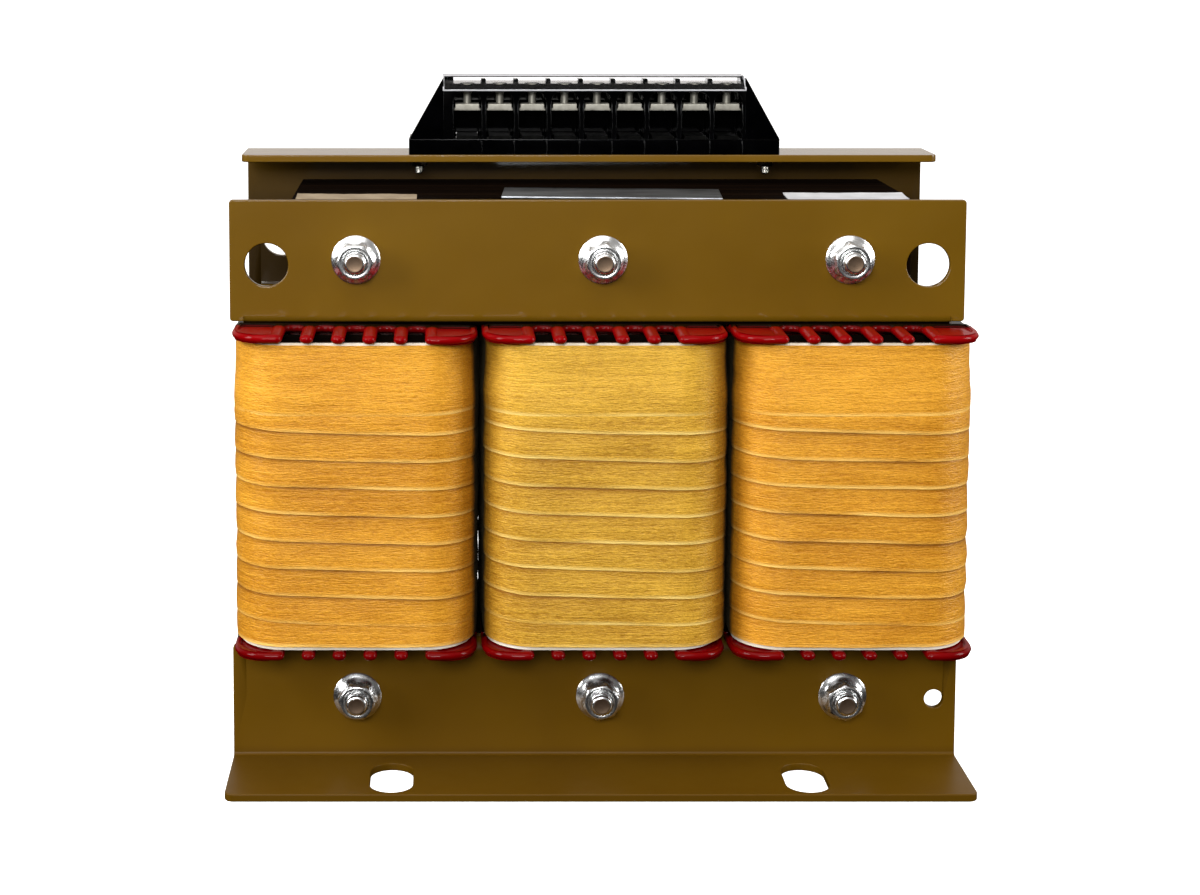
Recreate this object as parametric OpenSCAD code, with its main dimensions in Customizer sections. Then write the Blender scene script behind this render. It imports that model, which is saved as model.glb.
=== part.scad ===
// Three-phase dry-type transformer: a laminated three-leg core held between folded steel clamps,
// three taped coils on comb-flanged formers, and a nine-pole terminal block on a shelf of the rear clamp.
// Millimetres, +Z up. The origin is on the floor under the middle of the core, and the front faces -Y.

/* [Core] */
// Width of each leg
leg_w = 58; // [52:1:62]
// Height of each yoke
yoke_h = 52; // [48:1:60]
// Distance between the centres of neighbouring legs
leg_pitch = 110; // [106:1:116]
// Height of the windows between the yokes
window_h = 148; // [130:1:175]
// Thickness of the lamination stack
stack = 78; // [66:1:96]
// Height of the core's underside above the floor
core_lift = 5; // [3:0.5:8]
// How far the core sits to the right of the clamps' middle
core_off = 2.4; // [0:0.1:4]

/* [Clamps] */
// How far the clamps reach past the outer coil flanges, at each end
clamp_over = 0; // [0:0.5:10]
// Thickness of the clamp sheet
sheet = 3.5; // [3:0.5:5]
// Inside radius of the lips' folds, and of the shelf's
fold_r = 2; // [1:0.5:3]
// Inside radius of the fold between a foot and its web
foot_fold_r = 1.5; // [1:0.5:6]
// Corner radius of the flat plates
plate_r = 1.5; // [1:0.5:6]
// Corner radius of the feet and of the shelf
foot_r = 4; // [3:0.5:9]
// How far the lips stop short of the clamp's ends
lip_inset = 6; // [3:0.5:6]
// How far the web's ends stop short of the lips' outer faces
lip_notch = 2.5; // [1:0.1:4]
// How far the top clamps reach below the top yoke
top_drop = 4.4; // [3:0.1:4.6]
// How far the front top clamp stands above the yoke
front_over = 0.7; // [0:0.1:4]
// Height of the terminal shelf above the yoke
shelf_rise = 14.7; // [13:0.1:24]
// Depth of the terminal shelf, from the clamp's outer face
shelf_d = 38.5; // [34:0.5:45]
// Depth of the feet, from the clamp's outer face
foot_d = 46; // [45:1:65]

/* [Clamp holes] */
// Diameter of the lifting holes
lift_d = 19.5; // [14:0.5:22]
// Distance of a lifting hole from the clamp's end
lift_inset = 16.5; // [14:0.5:19]
// How far the lifting holes lie below the bolts
lift_drop = 2.5; // [0:0.5:6]
// Width of the foot slots
slot_w = 19; // [9:0.5:20]
// Length of the foot slots
slot_len = 33; // [24:0.5:33]
// Distance between the two slots of a foot
slot_pitch = 183; // [150:1:260]
// Distance of the slots' centres from the web
slot_back = 27; // [26:0.5:27]
// Diameter of the earth hole
earth_d = 8.5; // [5:0.5:10]
// Distance of the earth hole from the clamp's end
earth_inset = 10; // [7:0.5:16]

/* [Clamp bolts] */
// Diameter of the bolts
bolt_d = 10; // [8:1:12]
// Clearance of the bolts in the clamps, on the diameter
bolt_play = 1; // [0.5:0.1:2]
// How far a bolt stands out of its nut
bolt_tip = 4; // [1:0.5:8]
// Size across the flats of nuts and bolt heads
hex_af = 15; // [13.5:0.5:17]
// Height of the nuts, with their skirt
nut_h = 10; // [8:0.5:12]
// Height of the bolt heads, with their skirt
head_h = 9; // [7:0.5:12]
// Diameter of the skirt under nuts and heads
skirt_d = 21.8; // [20:0.2:24]
// Height of the skirt at its edge
skirt_h = 1.5; // [1:0.1:2]
// Wall of the insulating sleeves
sleeve_wall = 1; // [0.6:0.1:1.5]

/* [Packing boards] */
// Thickness of the boards between yokes and clamps
board_t = 6.5; // [4:0.5:9]
// Height of the boards
board_h = 41; // [32:0.5:42]
// How far the boards stop short of the core's sides
board_inset = 5; // [0:0.5:20]

/* [Coils] */
// Gap between a leg and its former
leg_gap = 0.5; // [0.3:0.1:1]
// Wall of the formers
former_wall = 2; // [1.5:0.1:3]
// Gap between neighbouring coils
coil_gap = 4; // [3:0.5:6]
// Build of the inner winding beside the leg
inner_side = 8; // [5:0.5:9]
// Build of the inner winding at the front and back
inner_front = 14; // [8:0.5:16]
// Insulation between the windings
layer_t = 1; // [0.5:0.1:2]
// Build of the outer winding at the front and back
outer_front = 18; // [12:0.5:20]
// Thickness of the outer paper
paper_t = 1; // [0.5:0.1:1.5]
// Thickness of the tape wrap
tape_t = 1.5; // [1:0.1:2]
// Corner radius of the formers
former_r = 2; // [1:0.5:4]
// Outside corner radius of the inner windings
inner_r = 10; // [6:0.5:12]
// Corner radius of the taped coils
coil_r = 23; // [18:0.5:26]
// How far the windings stop short of the flanges
winding_margin = 3; // [1:0.5:6]
// Paper left bare above the tape
paper_top = 0.8; // [0.4:0.1:4]
// Paper left bare below the tape
paper_bottom = 1.8; // [1:0.1:6]
// Height of the first, smooth band of tape
first_band = 30.5; // [15:0.5:40]
// Distance between the lapped edges of the tape
tape_pitch = 11.9; // [8:0.1:16]
// Depth of the step at each lapped edge
lap_depth = 0.5; // [0.2:0.1:0.8]
// Height of the step at each lapped edge
lap_h = 0.8; // [0.4:0.1:1.5]

/* [Coil flanges] */
// Gap between the flanges of neighbouring coils
flange_gap = 2; // [1:0.5:3]
// How far the flanges stand out in front of the tape
flange_over = 3; // [2:0.5:6]
// Thickness of the flange plates
flange_plate = 2; // [1.5:0.1:3]
// Rise of the rims and fingers above the plate
rim_rise = 2; // [1:0.1:2.2]
// Width of the rims round the ears
rim_w = 4; // [2:0.5:5]
// Thickness of the panels inside the ears' rims
ear_panel = 2; // [1:0.1:3]
// Number of fingers at the front and at the back
fingers = 4; // [3:1:4]
// Width of a finger
finger_w = 6; // [5:0.5:7]
// Gap beside a finger
finger_gap = 7.6; // [5:0.1:8]
// Outer corner radius of the ears
ear_r = 17; // [8:0.5:20]
// Width of the bar at the fingers' roots
root_w = 2.5; // [2:0.5:5]
// Gap between the bottom flange plates and the yoke
low_gap = 2.3; // [1:0.1:4]
// Gap between the top flange plates and the yoke
top_gap = 4.7; // [4.6:0.1:8]

/* [Terminal block] */
// Number of poles
poles = 9; // [6:1:9]
// Distance between neighbouring poles
pole_pitch = 15.35; // [14:0.05:15.5]
// Thickness of the barriers between the poles
barrier_t = 2.4; // [2:0.1:3]
// How far the row of poles sits off the middle of the block
pole_shift = 1.6; // [0:0.1:1.8]
// Thickness of the thinner end wall of the body
end_wall = 1.85; // [1.5:0.05:4]
// Length of the sloped ends beside the body
slope_len = 16; // [15:0.5:24]
// Depth of the block
block_d = 29; // [27:0.5:29]
// How far the block sits behind the shelf's edge
block_set = 1; // [0.5:0.1:1.5]
// Height of the base
base_h = 7.3; // [6:0.1:9]
// Height of the bays above the base
bay_h = 22.3; // [20:0.1:26]
// Depth of the bays
bay_d = 20; // [17:0.5:22]
// Radius of the bays' upper corners
bay_r = 4.5; // [2:0.5:5]
// Height of the body above the bays
crown_h = 3.7; // [3:0.1:5]
// Height of the teeth along the top of the body
tooth_h = 2; // [1:0.1:2.2]
// Thickness of the clear cover
cover_t = 1; // [0.8:0.1:1.4]
// Room under the cover, above the body
cover_room = 2.7; // [2.5:0.1:4]
// Width of the pressure plates
pad_w = 11.3; // [9:0.1:12]
// Height of the pressure plates
pad_h = 3.3; // [2:0.1:4]
// Depth of the pressure plates
pad_d = 9; // [7:0.5:11]
// Clear height below the pressure plates
pad_lift = 13.3; // [9:0.1:14]
// Diameter of the terminal screws
screw_d = 4; // [3:0.1:4.5]
// Diameter of the terminal screws' heads
screw_head_d = 6.6; // [6:0.1:7.5]
// Width of the conductor bars
bar_w = 10; // [7:0.5:12]
// Thickness of the conductor bars
bar_t = 1.5; // [1:0.1:2]
// How far the bars stand out at the back
bar_tag = 5; // [3:0.5:8]
// Thickness of the gusset ribs at the block's ends
gusset_t = 6; // [4:0.5:10]
// Distance of the fixing screws from the block's ends
fix_inset = 4.6; // [4.2:0.1:7]
// Diameter of the fixing screws
fix_d = 4; // [3:0.1:4.5]
// Width across the flats of the fixing screws' nuts
fix_nut_af = 7; // [6:0.5:8]
// Height of the fixing screws' nuts
fix_nut_h = 3.2; // [2:0.1:4]
// How far the fixing screws reach below the shelf
fix_tip = 7; // [5:0.5:10]

/* [Pieces on the yoke] */
// Length of the bare plate
plate_len = 99; // [60:1:130]
// Depth of the bare plate
plate_d = 34; // [20:1:36]
// How far the bare plate lies to the right of the middle leg
plate_off = 5.5; // [0:0.5:10]
// How far the bare plate is turned, in degrees
plate_turn = 4; // [0:0.5:5]
// Thickness of the bare plate
plate_t = 1; // [0.5:0.1:2]
// Length of the paper tabs
tab_len = 54; // [30:1:60]
// Depth of the left paper tab
tab_left_d = 7.5; // [3:0.5:12]
// Depth of the right paper tab
tab_right_d = 11; // [3:0.5:14]
// How far the paper tabs reach in front of the core
tab_over = 5; // [0:0.5:5]
// Thickness of the paper tabs
tab_t = 0.8; // [0.4:0.1:1.5]

/* [Fits] */
// Clearance between pieces that slide together
fit = 0.2; // [0.1:0.05:0.25]

/* [Hidden] */
$fn = 64;
eps = 0.01;
far = 500;

// Colours
steel_dark = "#2b2826";
paint = "#74541a";
zinc = "#c9ccd0";
red = "#a3101c";
gold = "#dfa338";
cream = "#efe6cf";
copper = "#b5703a";
black = "#17171a";

// Core
core_w = 2 * leg_pitch + leg_w;
core_h = window_h + 2 * yoke_h;
low_yoke_top = core_lift + yoke_h;
top_yoke_z = low_yoke_top + window_h;
core_top = core_lift + core_h;
core_face = stack / 2;
core_x = core_off / 2;
clamp_x = -core_off / 2;
leg_x = [for (i = [-1 : 1]) core_x + i * leg_pitch];
flange_w = leg_pitch - flange_gap;
low_bolt_z = core_lift + yoke_h / 2;
top_bolt_z = top_yoke_z + yoke_h / 2;

// Clamps
clamp_len = 2 * leg_pitch + flange_w + 2 * clamp_over;
web_in = core_face + board_t;
web_out = web_in + sheet;
fold_out = fold_r + sheet;
top_clamp_z = top_yoke_z - top_drop;
front_clamp_top = core_top + front_over;
shelf_z = core_top + shelf_rise;
shelf_front = web_out - shelf_d;
foot_front = web_out + foot_d;

// Bolts
sleeve_in = bolt_d / 2 + fit;
sleeve_out = sleeve_in + sleeve_wall;
bolt_hole = sleeve_out + fit;

// Coils: half sizes of each layer's outline, from the leg outwards
former_in = [leg_w / 2 + leg_gap, core_face + leg_gap];
former_out = former_in + [former_wall, former_wall];
inner_out = former_out + [inner_side, inner_front];
layer_out = inner_out + [layer_t, layer_t];
coil_out = [(leg_pitch - coil_gap) / 2, layer_out[1] + outer_front + paper_t + tape_t];
paper_out = coil_out - [tape_t, tape_t];
outer_out = paper_out - [paper_t, paper_t];
former_z = low_yoke_top;
former_top = top_yoke_z - top_gap;
wound_z = former_z + low_gap + flange_plate;
wound_top = former_top - flange_plate;
tape_z = wound_z + paper_bottom;
tape_top = wound_top - paper_top;

// Coil flanges
flange_out = [flange_w / 2, coil_out[1] + flange_over];
flange_open = former_out + [fit, fit];
ear_in = (fingers * finger_w + (fingers + 1) * finger_gap) / 2;
finger_pitch = finger_w + finger_gap;
rim_t = flange_plate + rim_rise;
rim_start = web_out + 1;
slot_root = rim_start + root_w;
ear_recess = (rim_t - ear_panel) / 2;

// Terminal block
bay_w = pole_pitch - barrier_t;
body_len = poles * pole_pitch - barrier_t + 2 * (pole_shift + end_wall);
block_len = body_len + 2 * slope_len;
pole_x = [for (i = [0 : poles - 1]) pole_shift + (i - (poles - 1) / 2) * pole_pitch];
bay_top = base_h + bay_h;
body_h = bay_top + crown_h;
cover_z = body_h + cover_room;
block_y = shelf_front + block_set;
screw_y = 7.5;
pad_z = base_h + pad_lift;
crown_front = 0.6;
bevel_d = 4.5;

// Rounded rectangle about the origin, given by its half sizes
module round_rect(half, r) {
    square(2 * [half[0] - r, half[1]], center = true);
    square(2 * [half[0], half[1] - r], center = true);
    for (x = [-1, 1], y = [-1, 1])
        translate([x * (half[0] - r), y * (half[1] - r)]) circle(r);
}

// Flat ring between two rounded rectangles, standing from z0 to z1
module sleeve(outer, outer_r, inner, inner_r, z0, z1) {
    translate([0, 0, z0])
        linear_extrude(z1 - z0)
            difference() {
                round_rect(outer, outer_r);
                round_rect(inner, inner_r);
            }
}

// Cylinder along Y from y0 to y1
module y_cylinder(d, y0, y1) {
    translate([0, y1, 0]) rotate([90, 0, 0]) cylinder(d = d, h = y1 - y0);
}

// Extrude a profile drawn in Y and Z along X, over a length about the middle
module along_x(length) {
    translate([-length / 2, 0, 0]) rotate([90, 0, 90]) linear_extrude(length) children();
}

// The same about the middle of the clamps
module on_clamps(length) { translate([clamp_x, 0, 0]) along_x(length) children(); }

// Extrude an outline drawn in X and Z through every Y
module through_y() {
    translate([0, far / 2, 0]) rotate([90, 0, 0]) linear_extrude(far) children();
}

// One child at every place of the clamp bolts along a yoke
module at_bolts(z) {
    for (x = leg_x) translate([x, 0, z]) children();
}

// Core

module core_section() {
    translate([core_x, core_lift + core_h / 2]) square([core_w, core_h], center = true);
}

module core_windows() {
    for (x = [-1, 1])
        translate([core_x + x * leg_pitch / 2, low_yoke_top + window_h / 2])
            square([leg_pitch - leg_w, window_h], center = true);
}

module core_e_stack() {
    color(steel_dark)
        difference() {
            translate([0, core_face, 0])
                rotate([90, 0, 0])
                    linear_extrude(stack)
                        difference() {
                            core_section();
                            core_windows();
                            translate([core_x, top_bolt_z]) square([core_w + 1, yoke_h], center = true);
                        }
            at_bolts(low_bolt_z) y_cylinder(2 * bolt_hole, -core_face - 1, core_face + 1);
        }
}

module core_i_yoke() {
    color(steel_dark)
        difference() {
            translate([core_x - core_w / 2, -core_face, top_yoke_z]) cube([core_w, stack, yoke_h]);
            at_bolts(top_bolt_z) y_cylinder(2 * bolt_hole, -core_face - 1, core_face + 1);
        }
}

// Packing boards

module packing_board(bolt_z) {
    color(black)
        difference() {
            translate([core_x - core_w / 2 + board_inset, -web_in, bolt_z - board_h / 2])
                cube([core_w - 2 * board_inset, board_t, board_h]);
            at_bolts(bolt_z) y_cylinder(2 * bolt_hole, -web_in - 1, -core_face + 1);
        }
}

module front_top_board() { packing_board(top_bolt_z); }
module rear_top_board() { mirror([0, 1, 0]) packing_board(top_bolt_z); }
module front_bottom_board() { packing_board(low_bolt_z); }
module rear_bottom_board() { mirror([0, 1, 0]) packing_board(low_bolt_z); }

// Clamps, drawn as front ones: the web stands at -Y and its lips point at the core

// Folded channel in Y and Z: web, a lower arm and an upper arm, both pointing at +Y
module channel_profile(z0, z1, low_arm, high_arm) {
    arm = max(low_arm, high_arm) + fold_out;
    difference() {
        translate([-web_out + arm, (z0 + z1) / 2]) round_rect([arm, (z1 - z0) / 2], fold_out);
        translate([-web_out + arm, (z0 + z1) / 2]) round_rect([arm - sheet, (z1 - z0) / 2 - sheet], fold_r);
        translate([-web_out + high_arm, (z0 + z1) / 2]) square([far, z1 - z0]);
        translate([-web_out + low_arm, z0 - 1]) square([far, (z1 - z0) / 2 + 1]);
    }
}

// Quarter of a folded sheet about the origin, with the given inside radius
module fold(r) {
    intersection() {
        difference() {
            circle(r + sheet);
            circle(r);
        }
        square(r + sheet);
    }
}

// Web with a lip folded towards the core at its lower edge, in Y and Z
module lipped_profile(z0, z1, lip_d) {
    translate([-web_out, z0 + fold_out]) square([sheet, z1 - z0 - fold_out]);
    translate([-web_in + fold_r, z0 + fold_out]) rotate(180) fold(fold_r);
    translate([-web_in + fold_r, z0]) square([lip_d - fold_out, sheet]);
}

// Folded foot angle in Y and Z: foot forward on the floor, web, and a lip at the top towards the core
module foot_profile(top_z) {
    lip_d = sheet + board_t;
    foot_out = foot_fold_r + sheet;
    translate([-foot_front, 0]) square([foot_d - foot_fold_r, sheet]);
    translate([-web_out - foot_fold_r, foot_out]) mirror([0, 1]) fold(foot_fold_r);
    translate([-web_out, foot_out]) square([sheet, top_z - fold_out - foot_out]);
    translate([-web_in + fold_r, top_z - fold_out]) mirror([1, 0]) fold(fold_r);
    translate([-web_in + fold_r, top_z - sheet]) square([lip_d - fold_out, sheet]);
}

// Flat ends of a web beside its lips, from z0 to z1
module web_ends(z0, z1) {
    translate([clamp_x, -web_in, 0])
        rotate([90, 0, 0])
            linear_extrude(sheet)
                difference() {
                    translate([0, (z0 + z1) / 2]) round_rect([clamp_len / 2, (z1 - z0) / 2], plate_r);
                    square([clamp_len - 2 * lip_inset, far], center = true);
                }
}

// What is cut away at both ends of a clamp, from z0 to z1, where a lip stops short
module lip_reliefs(z0, z1) {
    for (x = [-1, 1])
        translate([clamp_x + x * (clamp_len - lip_inset) / 2, 0, (z0 + z1) / 2])
            cube([lip_inset, far, z1 - z0] + [eps, 0, 0], center = true);
}

module lift_holes() {
    for (x = [-1, 1])
        translate([clamp_x + x * (clamp_len / 2 - lift_inset), 0, top_bolt_z - lift_drop])
            y_cylinder(lift_d, -web_out - 1, -web_in + 1);
}

module clamp_bolt_holes(z) {
    at_bolts(z) y_cylinder(bolt_d + bolt_play, -web_out - 1, -web_in + 1);
}

module front_top_clamp() {
    lip_d = sheet + board_t;
    color(paint)
        difference() {
            union() {
                on_clamps(clamp_len - 2 * lip_inset) lipped_profile(top_clamp_z, front_clamp_top, lip_d);
                web_ends(top_clamp_z + lip_notch, front_clamp_top);
            }
            lift_holes();
            clamp_bolt_holes(top_bolt_z);
        }
}

// Turned round from a front clamp, its upper arm is the shelf, which points at the front
module rear_top_clamp() {
    lip_d = sheet + board_t;
    color(paint)
        mirror([0, 1, 0])
            difference() {
                union() {
                    difference() {
                        on_clamps(clamp_len) channel_profile(top_clamp_z, shelf_z, lip_d, shelf_d);
                        lip_reliefs(top_clamp_z - 1, top_bolt_z);
                    }
                    web_ends(top_clamp_z + lip_notch, top_bolt_z + plate_r);
                }
                lift_holes();
                clamp_bolt_holes(top_bolt_z);
                shelf_corners();
                for (x = [-1, 1])
                    translate([core_x + x * fix_x(), -block_y - block_d / 2, shelf_z - sheet - 1])
                        cylinder(d = fix_d + 2 * fit, h = sheet + 2);
            }
}

// What is cut away to round the shelf's two front corners
module shelf_corners() {
    for (x = [0, 1])
        translate([clamp_x, 0, 0])
            mirror([x, 0, 0])
                translate([clamp_len / 2 - foot_r, -shelf_front - foot_r, shelf_z - sheet - 1])
                    linear_extrude(sheet + 2)
                        difference() {
                            square(foot_r + 1);
                            circle(foot_r);
                        }
}

module foot_slots() {
    for (x = [-1, 1])
        translate([clamp_x + x * slot_pitch / 2, -web_out - slot_back, -1])
            linear_extrude(sheet + 2) {
                square([slot_w, slot_len - slot_w], center = true);
                for (y = [-1, 1]) translate([0, y * (slot_len - slot_w) / 2]) circle(d = slot_w);
            }
}

module front_bottom_clamp() {
    color(paint)
        difference() {
            union() {
                difference() {
                    on_clamps(clamp_len) foot_profile(low_yoke_top);
                    lip_reliefs(low_bolt_z, low_yoke_top + 1);
                    foot_corners();
                }
                web_ends(low_bolt_z - plate_r, low_yoke_top - lip_notch);
            }
            clamp_bolt_holes(low_bolt_z);
            foot_slots();
            translate([clamp_x + clamp_len / 2 - earth_inset, 0, low_bolt_z - 1.5])
                y_cylinder(earth_d, -web_out - 1, -web_in + 1);
        }
}

// What is cut away to round the foot's two front corners
module foot_corners() {
    for (x = [0, 1])
        translate([clamp_x, 0, 0])
            mirror([x, 0, 0])
                translate([clamp_len / 2 - foot_r, -foot_front + foot_r, -1])
                    linear_extrude(sheet + 2)
                        mirror([0, 1])
                            difference() {
                                square(foot_r + 1);
                                circle(foot_r);
                            }
}

module rear_bottom_clamp() { mirror([0, 1, 0]) front_bottom_clamp(); }

// Bolts, nuts and sleeves

// Hexagon standing on the XZ plane and pointing at -Y, with a coned skirt at its foot
module hex_flange(height) {
    rotate([90, 0, 0]) {
        intersection() {
            cylinder(d = hex_af / cos(30), h = height, $fn = 6);
            rotate_extrude()
                polygon([[0, 0], [skirt_d, 0], [hex_af / 2 + height, 0], [hex_af / 2 - 0.4, height], [0, height]]);
        }
        rotate_extrude()
            polygon([[0, 0], [skirt_d / 2, 0], [skirt_d / 2, skirt_h],
                [hex_af / 2, skirt_h + (skirt_d - hex_af) / 4], [0, skirt_h + (skirt_d - hex_af) / 4]]);
    }
}

module clamp_bolts() {
    tip_y = web_out + nut_h + bolt_tip;
    chamfer = 1.2;
    color(zinc)
        for (z = [low_bolt_z, top_bolt_z])
            at_bolts(z) {
                y_cylinder(bolt_d, -tip_y + chamfer, web_out);
                translate([0, -tip_y + chamfer, 0])
                    rotate([90, 0, 0]) cylinder(d1 = bolt_d, d2 = bolt_d - 2 * chamfer, h = chamfer);
                translate([0, web_out, 0]) mirror([0, 1, 0]) hex_flange(head_h);
            }
}

// Each nut is turned by its own angle, as they stop when tightened
module clamp_nuts() {
    turn = [12, 50, 33];
    color(zinc)
        for (z = [low_bolt_z, top_bolt_z], i = [0 : len(leg_x) - 1])
            translate([leg_x[i], -web_out, z])
                rotate([0, turn[i] + (z == low_bolt_z ? 8 : 0), 0])
                    difference() {
                        hex_flange(nut_h);
                        y_cylinder(bolt_d + 2 * fit, -nut_h - 1, 1);
                        translate([0, -nut_h, 0])
                            rotate([-90, 0, 0]) cylinder(d1 = bolt_d + 2, d2 = bolt_d + 2 * fit, h = 1);
                    }
}

module bolt_sleeves() {
    color(cream)
        for (z = [low_bolt_z, top_bolt_z])
            at_bolts(z)
                difference() {
                    y_cylinder(2 * sleeve_out, -web_in, web_in);
                    y_cylinder(2 * sleeve_in, -web_in - 1, web_in + 1);
                }
}

// Coils, drawn about a leg at the origin

module former() {
    color(red) sleeve(former_out, former_r, former_in, former_r / 2, former_z, former_top);
}

module inner_winding() {
    color(copper)
        sleeve(inner_out, inner_r, former_out, former_r, wound_z + winding_margin, wound_top - winding_margin);
}

module layer_insulation() {
    color(cream)
        sleeve(layer_out, inner_r + layer_t, inner_out, inner_r, wound_z, wound_top);
}

module outer_winding() {
    color(copper)
        sleeve(outer_out, coil_r - tape_t - paper_t, layer_out, inner_r + layer_t,
            wound_z + winding_margin, wound_top - winding_margin);
}

module paper() {
    color(cream)
        sleeve(paper_out, coil_r - tape_t, outer_out, coil_r - tape_t - paper_t, wound_z, wound_top);
}

// Lapped tape: a smooth first band at the top, then turns with a step between neighbours
module tape_wrap() {
    laps = [for (z = tape_top - first_band; z > tape_z + tape_pitch / 2; z = z - tape_pitch) z];
    color(gold)
        difference() {
            sleeve(coil_out, coil_r, paper_out, coil_r - tape_t, tape_z, tape_top);
            for (z = laps)
                sleeve(coil_out + [1, 1], coil_r + 1, coil_out - [lap_depth, lap_depth], coil_r - lap_depth,
                    z - lap_h / 2, z + lap_h / 2);
        }
}

// Coil flange in plan, front half: two ears and the fingers between them

// Rectangle from y0 back to the fingers' roots, with a rounded inner and outer front corner
module ear_outline(inset) {
    tip_r = finger_w / 2;
    outer_r = ear_r - inset;
    x0 = ear_in + inset;
    x1 = flange_out[0] - inset;
    y0 = -flange_out[1] + inset;
    y1 = -rim_start - inset;
    intersection() {
        translate([x0, y0]) square([x1 - x0, y1 - y0]);
        union() {
            translate([x0 + tip_r, y0]) square([x1 - outer_r - x0 - tip_r, y1 - y0]);
            translate([x0, y0 + tip_r]) square([tip_r + eps, y1 - y0]);
            translate([x1 - outer_r - eps, y0 + outer_r]) square([outer_r + eps, y1 - y0]);
            translate([x0 + tip_r, y0 + tip_r]) circle(tip_r);
            translate([x1 - outer_r, y0 + outer_r]) circle(outer_r);
        }
    }
}

module finger_outline() {
    tip_y = -flange_out[1] + finger_w / 2;
    translate([-finger_w / 2, tip_y]) square([finger_w, -rim_start - tip_y]);
    translate([0, tip_y]) circle(d = finger_w);
}

// Bar at the fingers' roots, hollowed round at the end of each gap
module root_outline() {
    gap_r = finger_gap / 2;
    difference() {
        translate([-ear_in, -slot_root - gap_r]) square([2 * ear_in, slot_root + gap_r - rim_start]);
        for (i = [0 : fingers])
            translate([(i - fingers / 2) * finger_pitch, -slot_root - gap_r]) circle(gap_r);
    }
}

module comb_outline() {
    for (x = [0, 1]) mirror([x, 0]) ear_outline(0);
    for (i = [0 : fingers - 1])
        translate([(i - (fingers - 1) / 2) * finger_pitch, 0]) finger_outline();
    root_outline();
}

// The coil's side of the flange is at z = 0
module coil_flange() {
    linear_extrude(flange_plate)
        difference() {
            square(2 * [flange_out[0], rim_start], center = true);
            round_rect(flange_open, former_r);
        }
    for (y = [0, 1])
        mirror([0, y, 0])
            difference() {
                linear_extrude(rim_t) comb_outline();
                for (x = [0, 1], z = [-1, rim_t - ear_recess])
                    mirror([x, 0, 0])
                        translate([0, 0, z]) linear_extrude(ear_recess + 1) ear_outline(rim_w);
            }
}

module top_flange() { color(red) translate([0, 0, wound_top]) coil_flange(); }
module bottom_flange() { color(red) translate([0, 0, wound_z]) mirror([0, 0, 1]) coil_flange(); }

module left_former() { translate([leg_x[0], 0, 0]) former(); }
module left_inner_winding() { translate([leg_x[0], 0, 0]) inner_winding(); }
module left_layer_insulation() { translate([leg_x[0], 0, 0]) layer_insulation(); }
module left_outer_winding() { translate([leg_x[0], 0, 0]) outer_winding(); }
module left_paper() { translate([leg_x[0], 0, 0]) paper(); }
module left_tape_wrap() { translate([leg_x[0], 0, 0]) tape_wrap(); }
module left_top_flange() { translate([leg_x[0], 0, 0]) top_flange(); }
module left_bottom_flange() { translate([leg_x[0], 0, 0]) bottom_flange(); }
module middle_former() { translate([leg_x[1], 0, 0]) former(); }
module middle_inner_winding() { translate([leg_x[1], 0, 0]) inner_winding(); }
module middle_layer_insulation() { translate([leg_x[1], 0, 0]) layer_insulation(); }
module middle_outer_winding() { translate([leg_x[1], 0, 0]) outer_winding(); }
module middle_paper() { translate([leg_x[1], 0, 0]) paper(); }
module middle_tape_wrap() { translate([leg_x[1], 0, 0]) tape_wrap(); }
module middle_top_flange() { translate([leg_x[1], 0, 0]) top_flange(); }
module middle_bottom_flange() { translate([leg_x[1], 0, 0]) bottom_flange(); }
module right_former() { translate([leg_x[2], 0, 0]) former(); }
module right_inner_winding() { translate([leg_x[2], 0, 0]) inner_winding(); }
module right_layer_insulation() { translate([leg_x[2], 0, 0]) layer_insulation(); }
module right_outer_winding() { translate([leg_x[2], 0, 0]) outer_winding(); }
module right_paper() { translate([leg_x[2], 0, 0]) paper(); }
module right_tape_wrap() { translate([leg_x[2], 0, 0]) tape_wrap(); }
module right_top_flange() { translate([leg_x[2], 0, 0]) top_flange(); }
module right_bottom_flange() { translate([leg_x[2], 0, 0]) bottom_flange(); }

// Pieces lying on the top yoke and reaching over the gap in front of it

module bare_plate() {
    color(zinc)
        translate([core_x + plate_off, -core_face + plate_d / 2 - 2, core_top])
            rotate(-plate_turn)
                translate([-plate_len / 2, -plate_d / 2, 0]) cube([plate_len, plate_d, plate_t]);
}

module paper_tab(depth) {
    color(cream)
        translate([-tab_len / 2, -core_face - tab_over, core_top]) cube([tab_len, depth + tab_over, tab_t]);
}

module left_paper_tab() { translate([leg_x[0], 0, 0]) paper_tab(tab_left_d); }
module right_paper_tab() { translate([leg_x[2], 0, 0]) paper_tab(tab_right_d); }

// Terminal block, drawn with its front lower edge on the origin's X axis

function fix_x() = block_len / 2 - fix_inset;

module on_shelf() { translate([core_x, block_y, shelf_z]) children(); }

// Side view of the body in Y and Z: bevelled along the front of the crown
module body_profile() {
    polygon([[0, 0], [block_d, 0], [block_d, body_h], [bevel_d, body_h], [0, bay_top + crown_front]]);
}

// Side view of the end walls' tops, which carry the cover
module crest_profile() {
    polygon([[bevel_d, body_h - 1], [bay_d, body_h - 1], [bay_d, cover_z], [2 * bevel_d, cover_z], [bevel_d, body_h]]);
}

module bay_outline() {
    translate([0, (base_h + bay_top - bay_r) / 2])
        square([bay_w, bay_h - bay_r], center = true);
    translate([0, bay_top - bay_r]) square([bay_w - 2 * bay_r, 2 * bay_r], center = true);
    for (x = [-1, 1]) translate([x * (bay_w / 2 - bay_r), bay_top - bay_r]) circle(bay_r);
}

module gusset_outline() {
    polygon([[-block_len / 2, 0], [block_len / 2, 0], [block_len / 2, base_h],
        [body_len / 2, bay_top + crown_front], [-body_len / 2, bay_top + crown_front], [-block_len / 2, base_h]]);
}

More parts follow.
